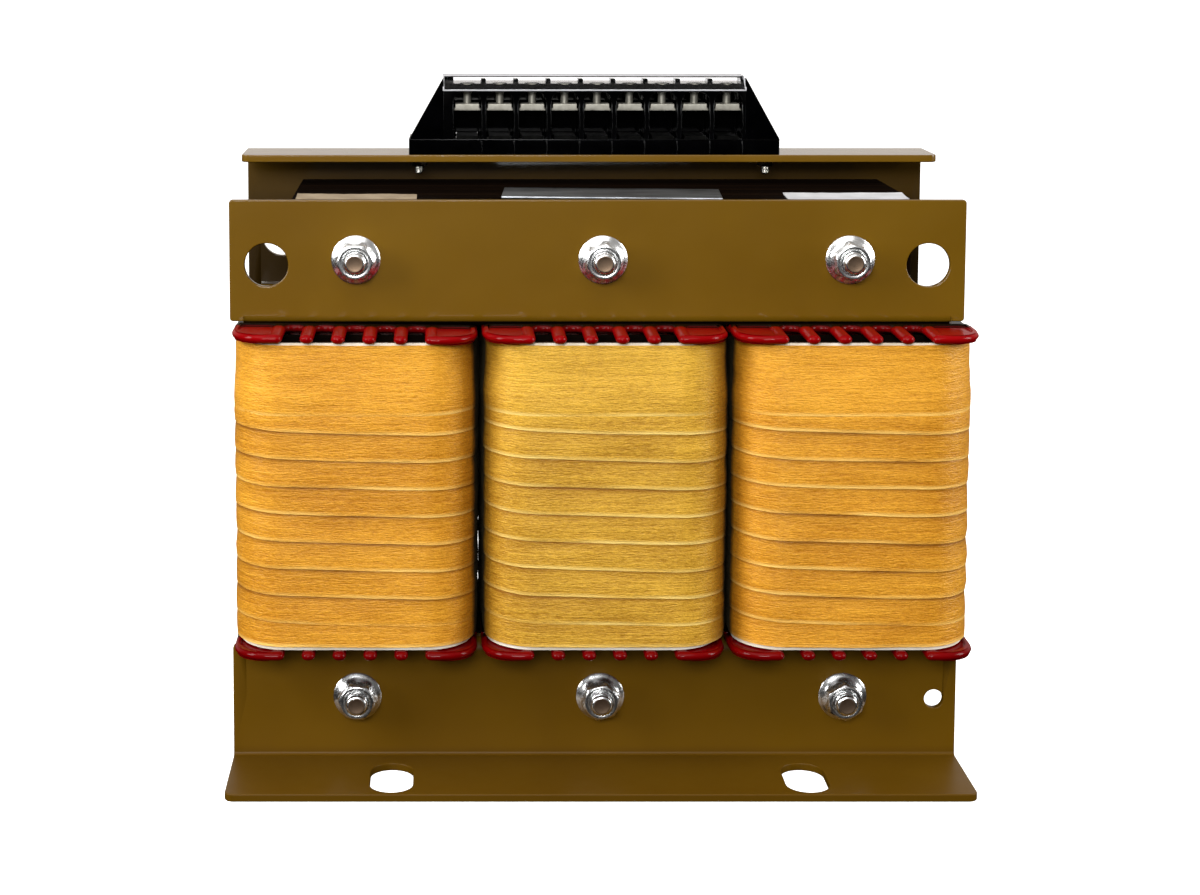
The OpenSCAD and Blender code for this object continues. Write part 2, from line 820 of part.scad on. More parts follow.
module terminal_body() {
    wall_ends = [pole_x[0] - bay_w / 2, pole_x[poles - 1] + bay_w / 2];
    color(black)
        on_shelf()
            difference() {
                union() {
                    translate([-block_len / 2, 0, 0]) cube([block_len, block_d, base_h]);
                    translate([0, gusset_t, 0]) rotate([90, 0, 0]) linear_extrude(gusset_t) gusset_outline();
                    along_x(body_len) body_profile();
                    difference() {
                        along_x(body_len) crest_profile();
                        translate([wall_ends[0], 0, body_h])
                            cube([wall_ends[1] - wall_ends[0], block_d, far]);
                    }
                    // Teeth over the barriers
                    for (i = [0 : poles])
                        translate([pole_x[0] + (i - 0.5) * pole_pitch - barrier_t / 2, 2 * bevel_d, body_h - eps])
                            cube([barrier_t, bay_d - 2 * bevel_d, tooth_h + eps]);
                }
                for (x = pole_x) translate([x, 0, 0]) {
                    translate([0, bay_d, 0]) rotate([90, 0, 0]) linear_extrude(bay_d + 1) bay_outline();
                    // Screw hole and the recess of the screw's head
                    translate([0, screw_y, bay_top - 1]) cylinder(d = screw_d + 2 * fit, h = far);
                    translate([0, screw_y, bay_top + 1]) cylinder(d = screw_head_d + 2 * fit, h = far);
                    // Slot for the conductor bar through the back wall
                    translate([-bar_w / 2 - fit, bay_d - 1, base_h - eps])
                        cube([bar_w + 2 * fit, block_d, bar_t + fit + eps]);
                }
                for (x = [-1, 1])
                    translate([x * fix_x(), block_d / 2, -1]) cylinder(d = fix_d + 2 * fit, h = base_h);
            }
}

module terminal_bars() {
    color(zinc)
        on_shelf()
            for (x = pole_x)
                difference() {
                    translate([x - bar_w / 2, 1, base_h]) cube([bar_w, block_d - 1 + bar_tag, bar_t]);
                    translate([x, block_d + bar_tag / 2, base_h - 1]) cylinder(d = bar_tag / 2, h = bar_t + 2);
                }
}

// Channelled plate with a lip along its lower edge
module pressure_plates() {
    lip = 0.7;
    color(zinc)
        on_shelf()
            for (x = pole_x)
                translate([x, screw_y, pad_z])
                    translate([0, -pad_d / 2, 0])
                        rotate([-90, 0, 0])
                            mirror([0, 1, 0])
                                linear_extrude(pad_d)
                                    polygon([[-pad_w / 2 - lip, 0], [pad_w / 2 + lip, 0], [pad_w / 2 + lip, lip],
                                        [pad_w / 2, 2 * lip], [pad_w / 2, pad_h], [-pad_w / 2, pad_h],
                                        [-pad_w / 2, 2 * lip], [-pad_w / 2 - lip, lip]]);
}

module terminal_screws() {
    head_z = bay_top + 1;
    slot = 1;
    color(zinc)
        on_shelf()
            for (x = pole_x)
                translate([x, screw_y, 0])
                    difference() {
                        union() {
                            translate([0, 0, pad_z + pad_h]) cylinder(d = screw_d, h = head_z - pad_z - pad_h);
                            translate([0, 0, head_z]) cylinder(d = screw_head_d, h = crown_h - 1.2);
                        }
                        translate([-screw_head_d, -slot / 2, body_h - 1.2]) cube([2 * screw_head_d, slot, far]);
                    }
}

// Clear cover bent over the crown of the body, in Y and Z
module cover_profile() {
    front_z = bay_top + crown_front;
    top = cover_z + cover_t;
    back = bay_d + cover_t + fit;
    difference() {
        polygon([[-fit - cover_t, front_z], [-fit - cover_t, front_z + 1.2], [bevel_d, top - 1.2], [2 * bevel_d, top],
            [back, top], [back, body_h + fit], [-fit, front_z]]);
        polygon([[-fit, front_z - 1], [-fit, front_z + fit], [bevel_d + cover_t / 2, cover_z - 1.2],
            [2 * bevel_d, cover_z], [back - cover_t, cover_z], [back - cover_t, body_h - 1]]);
    }
}

module terminal_cover() {
    color("#dfe8ee", 0.4) on_shelf() along_x(body_len) cover_profile();
}

// Screws down from the ends of the base through the shelf, with nuts below it
module fixing_screws() {
    color(zinc)
        on_shelf()
            for (x = [-1, 1])
                translate([x * fix_x(), block_d / 2, -sheet]) {
                    translate([0, 0, -fix_tip]) cylinder(d = fix_d, h = fix_tip + sheet + base_h - 2);
                    translate([0, 0, -fix_nut_h]) cylinder(d = fix_nut_af / cos(30), h = fix_nut_h, $fn = 6);
                }
}

core_e_stack();
core_i_yoke();
front_top_board();
rear_top_board();
front_bottom_board();
rear_bottom_board();
front_top_clamp();
rear_top_clamp();
front_bottom_clamp();
rear_bottom_clamp();
clamp_bolts();
clamp_nuts();
bolt_sleeves();
left_former();
left_inner_winding();
left_layer_insulation();
left_outer_winding();
left_paper();
left_tape_wrap();
left_top_flange();
left_bottom_flange();
middle_former();
middle_inner_winding();
middle_layer_insulation();
middle_outer_winding();
middle_paper();
middle_tape_wrap();
middle_top_flange();
middle_bottom_flange();
right_former();
right_inner_winding();
right_layer_insulation();
right_outer_winding();
right_paper();
right_tape_wrap();
right_top_flange();
right_bottom_flange();
bare_plate();
left_paper_tab();
right_paper_tab();
terminal_body();
terminal_bars();
pressure_plates();
terminal_screws();
terminal_cover();
fixing_screws();
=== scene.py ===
# %% [markdown]
# # A three-phase dry-type transformer
# The object is a laminated core held between folded steel clamps, with three taped coils on red comb-edged
# flanges and a terminal block on a shelf at the back. The solids come from CAD. This lesson dresses them: edges
# are softened, the tape is wrapped, the sheets of the core are stacked, and every surface gets its finish.

# %% Load the frame
import math

import bmesh
import bpy
from mathutils import Matrix, Vector
from mathutils.kdtree import KDTree


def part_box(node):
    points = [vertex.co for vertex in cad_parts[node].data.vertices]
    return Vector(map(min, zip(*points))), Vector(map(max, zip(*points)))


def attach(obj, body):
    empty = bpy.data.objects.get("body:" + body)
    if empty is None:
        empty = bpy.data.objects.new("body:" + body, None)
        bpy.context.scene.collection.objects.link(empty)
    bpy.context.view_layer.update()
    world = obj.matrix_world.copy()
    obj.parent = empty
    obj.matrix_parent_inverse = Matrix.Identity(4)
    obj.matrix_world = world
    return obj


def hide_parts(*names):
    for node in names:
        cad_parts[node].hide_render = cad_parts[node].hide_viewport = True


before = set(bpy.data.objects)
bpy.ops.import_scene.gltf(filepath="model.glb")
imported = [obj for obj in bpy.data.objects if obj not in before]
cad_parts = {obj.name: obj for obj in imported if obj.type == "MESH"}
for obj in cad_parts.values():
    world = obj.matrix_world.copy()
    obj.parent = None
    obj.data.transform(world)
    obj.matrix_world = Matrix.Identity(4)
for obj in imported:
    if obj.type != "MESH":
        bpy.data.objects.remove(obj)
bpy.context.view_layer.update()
scene = bpy.context.scene
MM = 0.001
COILS = ("left", "middle", "right")
print("nodes in the frame:", len(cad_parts))

# %% [markdown]
# ## Camera
# The photograph was taken from left of the middle and well above, with the lens shifted so that the upright edges
# stay nearly upright. A fit of the bolts, plate ends, coils and feet gave the place, the turn and the shift. The
# lens is a focal length in pixels of a picture 1200 wide, which becomes millimetres on a sensor 36 wide, and the
# optical axis meets that picture at a point far up and left of its middle.

# %% Camera
PICTURE = (1200, 895)
FOCAL_PIXELS = 2156.2
AXIS_PIXEL = (445.0, 141.1)
EYE = Vector((-69.1, -999.5, 375.7)) * MM
PITCH = math.radians(5.51)


def in_scene(name, data):
    """A new object, linked to the scene."""
    made = bpy.data.objects.new(name, data)
    scene.collection.objects.link(made)
    return made


lens = bpy.data.cameras.new("camera")
lens.sensor_width = 36
lens.lens = FOCAL_PIXELS / PICTURE[0] * lens.sensor_width
lens.shift_x = (PICTURE[0] / 2 - AXIS_PIXEL[0]) / PICTURE[0]
lens.shift_y = (AXIS_PIXEL[1] - PICTURE[1] / 2) / PICTURE[0]
lens.clip_start, lens.clip_end = 0.05, 80
camera = in_scene("camera", lens)
camera.location = EYE
camera.rotation_euler = (math.pi / 2 - PITCH, 0, 0)
scene.camera = camera
print("lens", round(lens.lens, 2), "mm, shift", round(lens.shift_x, 3), round(lens.shift_y, 3))

# %% [markdown]
# ## Finishes
# Each finish is a small node tree on Object coordinates, so a pattern keeps its real size on every piece. One
# helper adds nodes and links them, and a second one holds the patterns, which keeps the recipes below short.


# %% Node helper
class Recipe:
    """A node tree that is filled by adding nodes whose inputs are values or other nodes' outputs."""

    def __init__(self, tree):
        self.tree = tree

    def add(self, kind, inputs=None, **settings):
        node = self.tree.nodes.new(kind)
        for name, value in settings.items():
            setattr(node, name, value)
        for name, value in (inputs or {}).items():
            self.feed(node.inputs[name], value)
        return node

    def feed(self, socket, value):
        if isinstance(value, bpy.types.NodeSocket):
            self.tree.links.new(value, socket)
        else:
            socket.default_value = value

    def math(self, operation, a, b=0.0, c=0.0):
        node = self.add("ShaderNodeMath", {0: a, 1: b, 2: c}, operation=operation)
        return node.outputs[0]

    def times(self, a, b):
        return self.math("MULTIPLY", a, b)

    def span(self, value, low, high, first=0.0, last=1.0):
        """Carry low..high over to first..last, and stop at both ends."""
        return self.add("ShaderNodeMapRange", {0: value, 1: low, 2: high, 3: first, 4: last}).outputs[0]

    def parts(self, vector):
        """The x, y and z of a vector."""
        return self.add("ShaderNodeSeparateXYZ", {0: vector}).outputs


# %% Shader helper
class Finish(Recipe):
    """A material with one Principled shader, and patterns in millimetres of the object's own coordinates."""

    def __init__(self, name, **sockets):
        self.material = bpy.data.materials.new(name)
        self.material.use_nodes = True
        super().__init__(self.material.node_tree)
        self.shader = self.tree.nodes["Principled BSDF"]
        for socket, value in sockets.items():
            self.shader.inputs[socket.replace("_", " ")].default_value = value
        texture = self.add("ShaderNodeTexCoord").outputs
        self.coordinates, self.normal = texture["Object"], texture["Normal"]

    def grain(self, size, stretch=(1, 1, 1), detail=2.0, roughness=0.5):
        """Noise whose grains are about size millimetres, longer along the axes that stretch names."""
        scale = [1 / MM / size / s for s in stretch]
        place = self.add("ShaderNodeMapping", {"Vector": self.coordinates, "Scale": scale})
        noise = self.add("ShaderNodeTexNoise", {
            "Vector": place.outputs[0], "Scale": 1.0, "Detail": detail, "Roughness": roughness})
        return noise.outputs[0]

    def ramp(self, factor, *stops):
        node = self.add("ShaderNodeValToRGB", {0: factor})
        elements = node.color_ramp.elements
        while len(elements) < len(stops):
            elements.new(0.5)
        for element, (position, colour) in zip(elements, stops):
            element.position = position
            element.color = (*colour, 1)
        return node.outputs[0]

    def blend(self, factor, first, second):
        return self.add("ShaderNodeMix", {0: factor, 6: first, 7: second}, data_type="RGBA").outputs[2]

    def bump(self, height, depth, under=None):
        """Bump whose height runs over depth millimetres."""
        inputs = {"Height": height, "Distance": depth * MM, "Strength": 1.0}
        if under is not None:
            inputs["Normal"] = under
        return self.add("ShaderNodeBump", inputs).outputs[0]

    def mottle(self, size, dark, light, **look):
        """Colour that clouds from dark to light."""
        return self.ramp(self.grain(size, **look), (0.3, dark), (0.7, light))

    def rough(self, size, least, most, **look):
        """Roughness that varies from least to most."""
        return self.span(self.grain(size, **look), 0.0, 1.0, least, most)

    def ripple(self, size, depth, **look):
        return self.bump(self.grain(size, **look), depth)

    def paint(self, **links):
        for socket, value in links.items():
            self.feed(self.shader.inputs[socket.replace("_", " ")], value)
        return self.material


# %% [markdown]
# ## Studio
# The photograph is a cut-out: the ground is pure white, and no light comes up from it, so undersides are black. The
# floor therefore glows for the camera alone. The room is white above and behind, dim in front and black below. The
# main light stands in front, a wide weak one hangs above, and a tall one stands at each side for the bright edges
# of the coils.


# %% Room
room = bpy.data.worlds.new("white_room")
scene.world = room
scene.view_settings.view_transform = "Standard"
scene.view_settings.look = "None"
room.use_nodes = True
sky = Recipe(room.node_tree)
toward = sky.parts(sky.add("ShaderNodeTexCoord").outputs["Generated"])
ceiling = sky.span(toward[2], 0.1, 0.7, 0.0, 0.3)
backdrop = sky.span(toward[1], 0.1, 0.5, 0.0, 0.9)
bright = sky.math("MAXIMUM", ceiling, backdrop)
above = sky.span(toward[2], -0.1, 0.0)
background = room.node_tree.nodes["Background"]
background.inputs["Color"].default_value = (1.0, 0.96, 0.91, 1)
sky.feed(background.inputs["Strength"], sky.times(sky.math("MAXIMUM", bright, 0.08), above))
print("room:", room.name)


# %% Floor and lights
def area_light(name, place, target, width, height, watts):
    light = bpy.data.lights.new(name, "AREA")
    light.shape = "RECTANGLE"
    light.size, light.size_y, light.energy = width, height, watts
    lamp = in_scene(name, light)
    lamp.location = place
    lamp.rotation_euler = (Vector(target) - Vector(place)).to_track_quat("-Z", "Y").to_euler()
    return lamp


ground = Finish("floor_white", Base_Color=(0.9, 0.9, 0.9, 1), Roughness=0.9,
                Emission_Color=(1, 1, 1, 1), Emission_Strength=1.0)
mesh = bpy.data.meshes.new("floor")
mesh.from_pydata([(-60, -60, 0), (60, -60, 0), (60, 60, 0), (-60, 60, 0)], [], [(0, 1, 2, 3)])
mesh.materials.append(ground.material)
floor = in_scene("floor", mesh)
floor.visible_diffuse = floor.visible_glossy = floor.visible_shadow = False
area_light("top_light", (-0.25, -0.75, 1.45), (0, 0, 0.15), 1.5, 0.9, 8)
area_light("front_light", (-0.35, -2.2, 1.0), (0, 0, 0.12), 1.0, 0.6, 37)
area_light("left_light", (-1.3, -0.6, 0.75), (-0.1, -0.05, 0.15), 0.5, 0.9, 17)
area_light("right_light", (1.4, -0.25, 0.6), (0.1, -0.05, 0.15), 0.5, 0.9, 15)

# %% [markdown]
# ## Paint, metal, plastic, tape and paper
# The clamps carry a bronze-brown satin paint. It clouds a little from place to place and has the fine ripple of a
# sprayed coat. No light comes from below, so the undersides of the folds are painted nearly black as shade. The
# bottom pair takes a darker copy of the paint as painted shade, with more painted shade on the feet and on faces
# that look up. On the rear clamp, faces below the shelf that look forward are painted dark as shade. The top pair
# is the glossier, so its shelf mirrors the white behind it.


# %% Clamp paint
def sprayed_paint(name, thin, thick, gloss=0.0, shade_below_height=0.0):
    """Paint of two tones. Faces that look down, faces that look up and the lowest 8 mm get painted shade. Below the
    height shade_below_height, faces that look forward get painted shade too.
    """
    coat = Finish(name, Specular_IOR_Level=0.14, Coat_Weight=gloss, Coat_Roughness=0.08)
    height, (_, forward, upward) = coat.parts(coat.coordinates)[2], coat.parts(coat.normal)
    colour = coat.ramp(coat.grain(60, detail=3), (0.35, thin), (0.65, thick))
    # Painted shade: faces that look up and the lowest 8 mm are blended towards dark brown.
    painted_shade_tops_and_feet = coat.math("MAXIMUM", coat.span(upward, 0.5, 0.95, 0.0, 0.2), coat.span(height, 4 * MM, 8 * MM, 0.35, 0.0))
    colour = coat.blend(painted_shade_tops_and_feet, colour, (0.04, 0.016, 0.0005, 1))
    # Painted shade: below the shelf, faces that look forward darken, more so further down.
    inside = coat.times(coat.span(forward, -0.7, -0.4, 1.0, 0.0),
                        coat.span(height, shade_below_height - 30 * MM, shade_below_height - 1 * MM, 0.85, 0.45))
    inside = coat.times(inside, coat.span(height, shade_below_height - 1 * MM, shade_below_height, 1.0, 0.0))
    colour = coat.blend(inside, colour, (0.004, 0.002, 0.0005, 1))
    # Faces that look down are painted nearly black: painted shade, as no light comes from below.
    return coat.paint(
        Base_Color=coat.blend(coat.span(upward, -0.62, -0.48), (0.002, 0.001, 0.0005, 1), colour),
        Roughness=coat.rough(9, 0.36, 0.46),
        Normal=coat.ripple(0.9, 0.010))


TOP_TONES = (0.132, 0.065, 0.001), (0.150, 0.076, 0.002)
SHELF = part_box("rear_top_clamp")[1].z - 4.5 * MM
bronze = sprayed_paint("bronze_paint", *TOP_TONES, gloss=0.7)
rear_bronze_shaded = sprayed_paint("bronze_paint_rear", *TOP_TONES, gloss=0.7, shade_below_height=SHELF)
# A darker copy of the top paint, as painted shade on the bottom clamps.
low_bronze_in_painted_shade = sprayed_paint("bronze_paint_low", (0.112, 0.053, 0.001), (0.128, 0.062, 0.0015))
print("finishes:", bronze.name, rear_bronze_shaded.name, low_bronze_in_painted_shade.name)

# %% [markdown]
# Core sheets are dark silicon steel with a thin oxide. Each sheet takes its own tone from its place in the stack,
# and a streak runs along the rolling direction.

# %% Core steel
SHEET = 0.5
sheet_steel = Finish("core_steel", Specular_IOR_Level=0.01)
sheets = sheet_steel.grain(SHEET * 2.4, stretch=(400, 1, 400), detail=0)
core_steel = sheet_steel.paint(
    Base_Color=sheet_steel.ramp(sheets, (0.35, (0.0015, 0.0008, 0.0005)), (0.75, (0.008, 0.004, 0.002))),
    Roughness=sheet_steel.rough(6, 0.6, 0.8, stretch=(6, 1, 1)),
    Normal=sheet_steel.ripple(3, 0.02, stretch=(8, 1, 1)))
print("finish:", core_steel.name)

# %% [markdown]
# Nuts and bolts are bright zinc. The plating is smooth, with faint smears that spread the reflections. The bolts'
# ends are cut after plating and are a dull brown grey. The small nuts under the shelf are painted near black as the
# shade they lie in, on bright studs.

# %% Bright zinc
plating = Finish("bright_zinc", Metallic=1.0)
ahead, squarely = plating.parts(plating.coordinates)[1], plating.parts(plating.normal)[1]
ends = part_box("clamp_bolts")[0].y + 0.8 * MM
sawn = plating.times(plating.span(ahead, ends, ends + 0.1 * MM, 1.0, 0.0),
                     plating.span(squarely, -0.98, -0.95, 1.0, 0.0))
plated = plating.mottle(4, (0.82, 0.83, 0.83), (0.95, 0.95, 0.95))
bright_zinc = plating.paint(
    Base_Color=plating.blend(sawn, plated, (0.22, 0.15, 0.10, 1)),
    Roughness=plating.math("MULTIPLY_ADD", sawn, 0.2, plating.rough(2, 0.18, 0.32, detail=4)),
    Normal=plating.ripple(1.2, 0.006))

# The nut is painted near black as the shade under the shelf; the stud below it stays bright.
shaded_nut_finish = Finish("black_nut_and_stud", Metallic=1.0)
nut_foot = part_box("fixing_screws")[0].z + 3.75 * MM
on_nut = shaded_nut_finish.span(shaded_nut_finish.parts(shaded_nut_finish.coordinates)[2], nut_foot, nut_foot + 0.1 * MM)
nut_in_painted_shade = shaded_nut_finish.paint(
    Base_Color=shaded_nut_finish.blend(on_nut, (0.86, 0.85, 0.80, 1), (0.012, 0.009, 0.006, 1)),
    Roughness=shaded_nut_finish.rough(2, 0.2, 0.35))
print("finishes:", bright_zinc.name, nut_in_painted_shade.name)

# %% [markdown]
# The coil flanges are moulded in a deep red gloss plastic. A slow ripple keeps the highlights from being perfect.
# Where they run in under the clamps and the coil they are painted near black as shade, and the lower flanges are
# painted darker as shade.

# %% Red gloss plastic
moulding = Finish("red_gloss", Specular_IOR_Level=0.01, Coat_Weight=0.22, Coat_Roughness=0.05)
_, forth, aloft = moulding.parts(moulding.coordinates)
deep = moulding.math("ABSOLUTE", forth)
lying = moulding.math("ABSOLUTE", moulding.parts(moulding.normal)[2])
# Painted shade: where the flanges run in under the clamps and the coil, lying faces most, the red goes near black.
painted_shade_under_clamps = moulding.times(moulding.span(deep, 55.5 * MM, 58.0 * MM, 1.0, 0.0),
                       moulding.span(lying, 0.6, 0.9, 0.5, 1.0))
moulded = moulding.mottle(20, (0.19, 0.0002, 0.0010), (0.25, 0.0004, 0.0016))
# Painted shade: below 120 mm the red is blended up to 45 percent towards a darker red.
moulded = moulding.blend(moulding.span(aloft, 60 * MM, 120 * MM, 0.45, 0.0), moulded, (0.03, 0.0001, 0.0002, 1))
red_gloss = moulding.paint(
    Base_Color=moulding.blend(painted_shade_under_clamps, moulded, (0.003, 0.001, 0.001, 1)),
    Roughness=moulding.rough(5, 0.3, 0.4),
    Normal=moulding.ripple(7, 0.03))
print("finish:", red_gloss.name)

# %% [markdown]
# The coils are wrapped in a silky woven tape. Threads run along the tape, so the finest grain is stretched
# sideways; a crossing grain gives the small glints, and broad clouds vary the dye. The wrap carries the place
# across the tape as an attribute, which lets a painted highlight lighten the folded lower edge, and a painted
# shadow darken the strip just under the next turn's edge. A second attribute marks the sides that face the next
# coil, where no light comes; they get painted shade, near black. The last turn is painted a little lighter, as
# light from above, and the middle coil's tape is a yellower batch.


# %% Woven tape
LAST_TURN = 165  # height above which the last turn shows whole, in millimetres


def woven_tape(name, dark, light, edge):
    tape = Finish(name, Specular_IOR_Level=0.5, Specular_Tint=(1.0, 0.84, 0.50, 1))
    threads = tape.grain(0.5, stretch=(7, 7, 1), detail=2)
    crossing = tape.grain(0.65, stretch=(1.6, 1.6, 1), detail=3, roughness=0.6)
    creases = tape.grain(1.3, stretch=(18, 18, 1), detail=2)
    weave = tape.math("MULTIPLY_ADD", crossing, 0.8, threads)
    tone = tape.math("MULTIPLY_ADD", creases, 0.26, tape.times(weave, 0.42))
    tone = tape.math("MULTIPLY_ADD", tape.grain(28, stretch=(2, 2, 1)), 0.3, tone)
    height = tape.parts(tape.coordinates)[2]
    # Painted light: the last turn is made a little lighter.
    painted_top_light = tape.span(height, (LAST_TURN - 2) * MM, (LAST_TURN + 3) * MM, 0.0, 0.06)
    dyed = tape.ramp(tape.math("ADD", tone, painted_top_light), (0.50, dark), (0.82, light))
    across = tape.add("ShaderNodeAttribute", attribute_name="across").outputs["Fac"]
    slack = tape.grain(16, stretch=(3, 3, 1), detail=1)
    # Painted highlight along the lower edge of each turn, stronger where the slack noise is high.
    painted_hem_highlight = tape.times(tape.span(across, 0.94, 0.985), tape.span(slack, 0.38, 0.62, 0.15, 0.85))
    # Painted shadow: the strip just under the next turn's edge is darkened, except on the last turn.
    lapped = tape.times(tape.span(height, (LAST_TURN - 1) * MM, (LAST_TURN + 1) * MM, 1.0, 0.0),
                        tape.span(slack, 0.35, 0.65, 0.9, 0.45))
    under = tape.times(lapped, tape.math(
        "MAXIMUM", tape.span(across, 0.62, 0.68, 1.0, 0.0), tape.span(across, 0.62, 0.84, 0.4, 0.0)))
    # Painted shade: sides that face the next coil go dark brown, and near black where they face it squarely.
    toward = tape.add("ShaderNodeAttribute", attribute_name="inner").outputs["Fac"]
    inner = tape.span(toward, 0.94, 0.99)
    shade = tape.math("MAXIMUM", under, tape.span(toward, 0.55, 0.95, 0.0, 0.5))
    colour = tape.blend(shade, tape.blend(painted_hem_highlight, dyed, edge), (0.20, 0.06, 0.002, 1))
    return tape.paint(
        Base_Color=tape.blend(inner, colour, (0.003, 0.0012, 0.0004, 1)),
        Roughness=tape.math("MAXIMUM", inner, tape.span(crossing, 0.0, 1.0, 0.22, 0.56)),
        Normal=tape.bump(weave, 0.30, tape.bump(creases, 0.24)))


gold_tape = woven_tape("gold_tape", (0.46, 0.165, 0.005), (0.86, 0.40, 0.032), (0.98, 0.62, 0.16, 1))
pale_tape = woven_tape("pale_gold_tape", (0.355, 0.160, 0.007), (0.80, 0.455, 0.048), (0.94, 0.68, 0.20, 1))
print("finish:", gold_tape.name, pale_tape.name)

# %% [markdown]
# The insulating paper is pressed board, cream and fibrous. One of the two strips on the yoke is whiter, the other
# has aged, and the paper between the windings is dark with varnish, darkened further to near black as painted shade.


# %% Paper
def fibrous_paper(name, dark, light, sheen=0.3):
    paper = Finish(name, Specular_IOR_Level=sheen)
    return paper.paint(
        Base_Color=paper.mottle(3, dark, light, stretch=(4, 4, 1), detail=4),
        Roughness=paper.rough(1, 0.6, 0.8),
        Normal=paper.ripple(0.5, 0.05, stretch=(4, 4, 1)))


cream_paper = fibrous_paper("cream_paper", (0.74, 0.66, 0.50), (0.92, 0.88, 0.78))
white_paper = fibrous_paper("white_paper", (0.47, 0.47, 0.48), (0.62, 0.62, 0.64))
aged_paper = fibrous_paper("aged_paper", (0.23, 0.17, 0.105), (0.35, 0.27, 0.175))
# Varnished dark, and darkened to near black as painted shade between the windings.
dark_paper_in_shade = fibrous_paper("varnished_paper", (0.0015, 0.0008, 0.0005), (0.004, 0.002, 0.001), sheen=0.02)
print("finishes:", cream_paper.name, white_paper.name, aged_paper.name, dark_paper_in_shade.name)

# %% [markdown]
# The terminal block is gloss black, its plates and screws are tinned brass, and the bars deep in its bays are
# coloured near black as painted shade. A clear cover lies over the crown. Its faces are invisible, and its cut
# edges are painted white as a highlight.

# %% Block, terminal metal and clear cover
phenolic = Finish("black_gloss", Specular_IOR_Level=0.3)
black_gloss = phenolic.paint(
    Base_Color=phenolic.mottle(8, (0.0002, 0.0002, 0.0003), (0.0006, 0.0006, 0.0008)),
    Roughness=phenolic.rough(3, 0.06, 0.12),
    Normal=phenolic.ripple(2, 0.01))

tin = Finish("tinned_brass", Metallic=0.65)
tinned_brass = tin.paint(
    Base_Color=tin.mottle(3, (0.30, 0.285, 0.24), (0.42, 0.405, 0.35)),
    Roughness=tin.rough(0.6, 0.38, 0.55, stretch=(6, 1, 1)),
    Normal=tin.ripple(0.5, 0.012, stretch=(6, 1, 1)))

# The bars are coloured near black as the shade deep in the bays.
dull = Finish("tarnished_brass", Specular_IOR_Level=0.02)
bars_in_painted_shade = dull.paint(
    Base_Color=dull.mottle(3, (0.001, 0.001, 0.001), (0.004, 0.004, 0.0035)),
    Roughness=dull.rough(1, 0.4, 0.6))

clear = Finish("clear_cover", IOR=1.02)
pane_low, pane_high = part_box("terminal_cover")
half_pane = (pane_high.x - pane_low.x) / 2
sideways, _, tall = clear.parts(clear.coordinates)
along = clear.math("ABSOLUTE", clear.math("SUBTRACT", sideways, (pane_low.x + pane_high.x) / 2))
# Painted highlight: the cut edges of the cover are coloured white and opaque.
rim = clear.math("MAXIMUM", clear.span(tall, pane_low.z + 0.5 * MM, pane_low.z + 0.7 * MM, 1.0, 0.0),
                 clear.span(tall, pane_high.z - 0.4 * MM, pane_high.z - 0.3 * MM))
rim = clear.math("MAXIMUM", rim, clear.span(along, half_pane - 0.7 * MM, half_pane - 0.5 * MM))
clear_cover = clear.paint(
    Base_Color=clear.blend(rim, (0.99, 0.99, 1.0, 1), (0.50, 0.50, 0.52, 1)),
    Transmission_Weight=clear.span(rim, 0.0, 1.0, 1.0, 0.0),
    Roughness=clear.rough(4, 0.0, 0.02))
print("finishes:", black_gloss.name, tinned_brass.name, bars_in_painted_shade.name, clear_cover.name)

# %% [markdown]
# The last finishes are for pieces that are mostly hidden: enamelled copper, black packing boards, and the bare
# brushed plate on the yoke, which is smeared.

# %% Copper, packing and bare plate
enamel = Finish("enamelled_copper", Metallic=0.8)
wires = enamel.grain(0.9, stretch=(60, 60, 1), detail=0)
copper = enamel.paint(
    Base_Color=enamel.ramp(wires, (0.3, (0.10, 0.035, 0.013)), (0.7, (0.22, 0.085, 0.032))),
    Roughness=enamel.rough(2, 0.3, 0.45),
    Normal=enamel.bump(wires, 0.2))

board = Finish("black_board", Specular_IOR_Level=0.3)
black_board = board.paint(
    Base_Color=board.mottle(4, (0.006, 0.006, 0.006), (0.014, 0.013, 0.013)),
    Roughness=board.rough(2, 0.55, 0.75),
    Normal=board.ripple(0.8, 0.04))

brushed = Finish("brushed_plate", Metallic=1.0)
streaks = brushed.grain(0.5, stretch=(80, 1, 1), detail=3)
smears = brushed.math("MULTIPLY_ADD", brushed.grain(5, stretch=(5, 1, 1), detail=3), 0.6,
                      brushed.times(streaks, 0.4))
brushed_plate = brushed.paint(
    Base_Color=brushed.ramp(smears, (0.38, (0.13, 0.14, 0.155)), (0.62, (0.46, 0.49, 0.52))),
    Roughness=brushed.span(streaks, 0.0, 1.0, 0.28, 0.45),
    Normal=brushed.bump(streaks, 0.015))
print("finishes:", copper.name, black_board.name, brushed_plate.name)

# %% [markdown]
# ## Pieces made from the solids
# Folded and moulded parts have no knife edges, and it is the thin highlight along a softened edge that makes them
# look real. A CAD mesh is loose triangles, so its copy is merged first. Then a bevel rounds every edge that turns
# sharply, and leaves the many small turns of a fold or a hole alone, and also the hairline slits where a fold is
# relieved. Normals weighted by area keep the broad faces flat right up to the rounding.


def new_piece(name, mesh, *replaced):
    """Put a finished mesh in the scene as the piece that stands for these CAD nodes."""
    piece = in_scene(name, mesh)
    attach(piece, "root")
    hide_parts(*replaced)
    print(name, len(mesh.polygons), "faces")
    return piece


def evaluated_mesh(carrier, name):
    """The mesh an object comes to with its modifiers or as a curve; the object itself is thrown away."""
    depsgraph = bpy.context.evaluated_depsgraph_get()
    mesh = bpy.data.meshes.new_from_object(carrier.evaluated_get(depsgraph), depsgraph=depsgraph)
    mesh.name = name
    bpy.data.objects.remove(carrier)
    return mesh


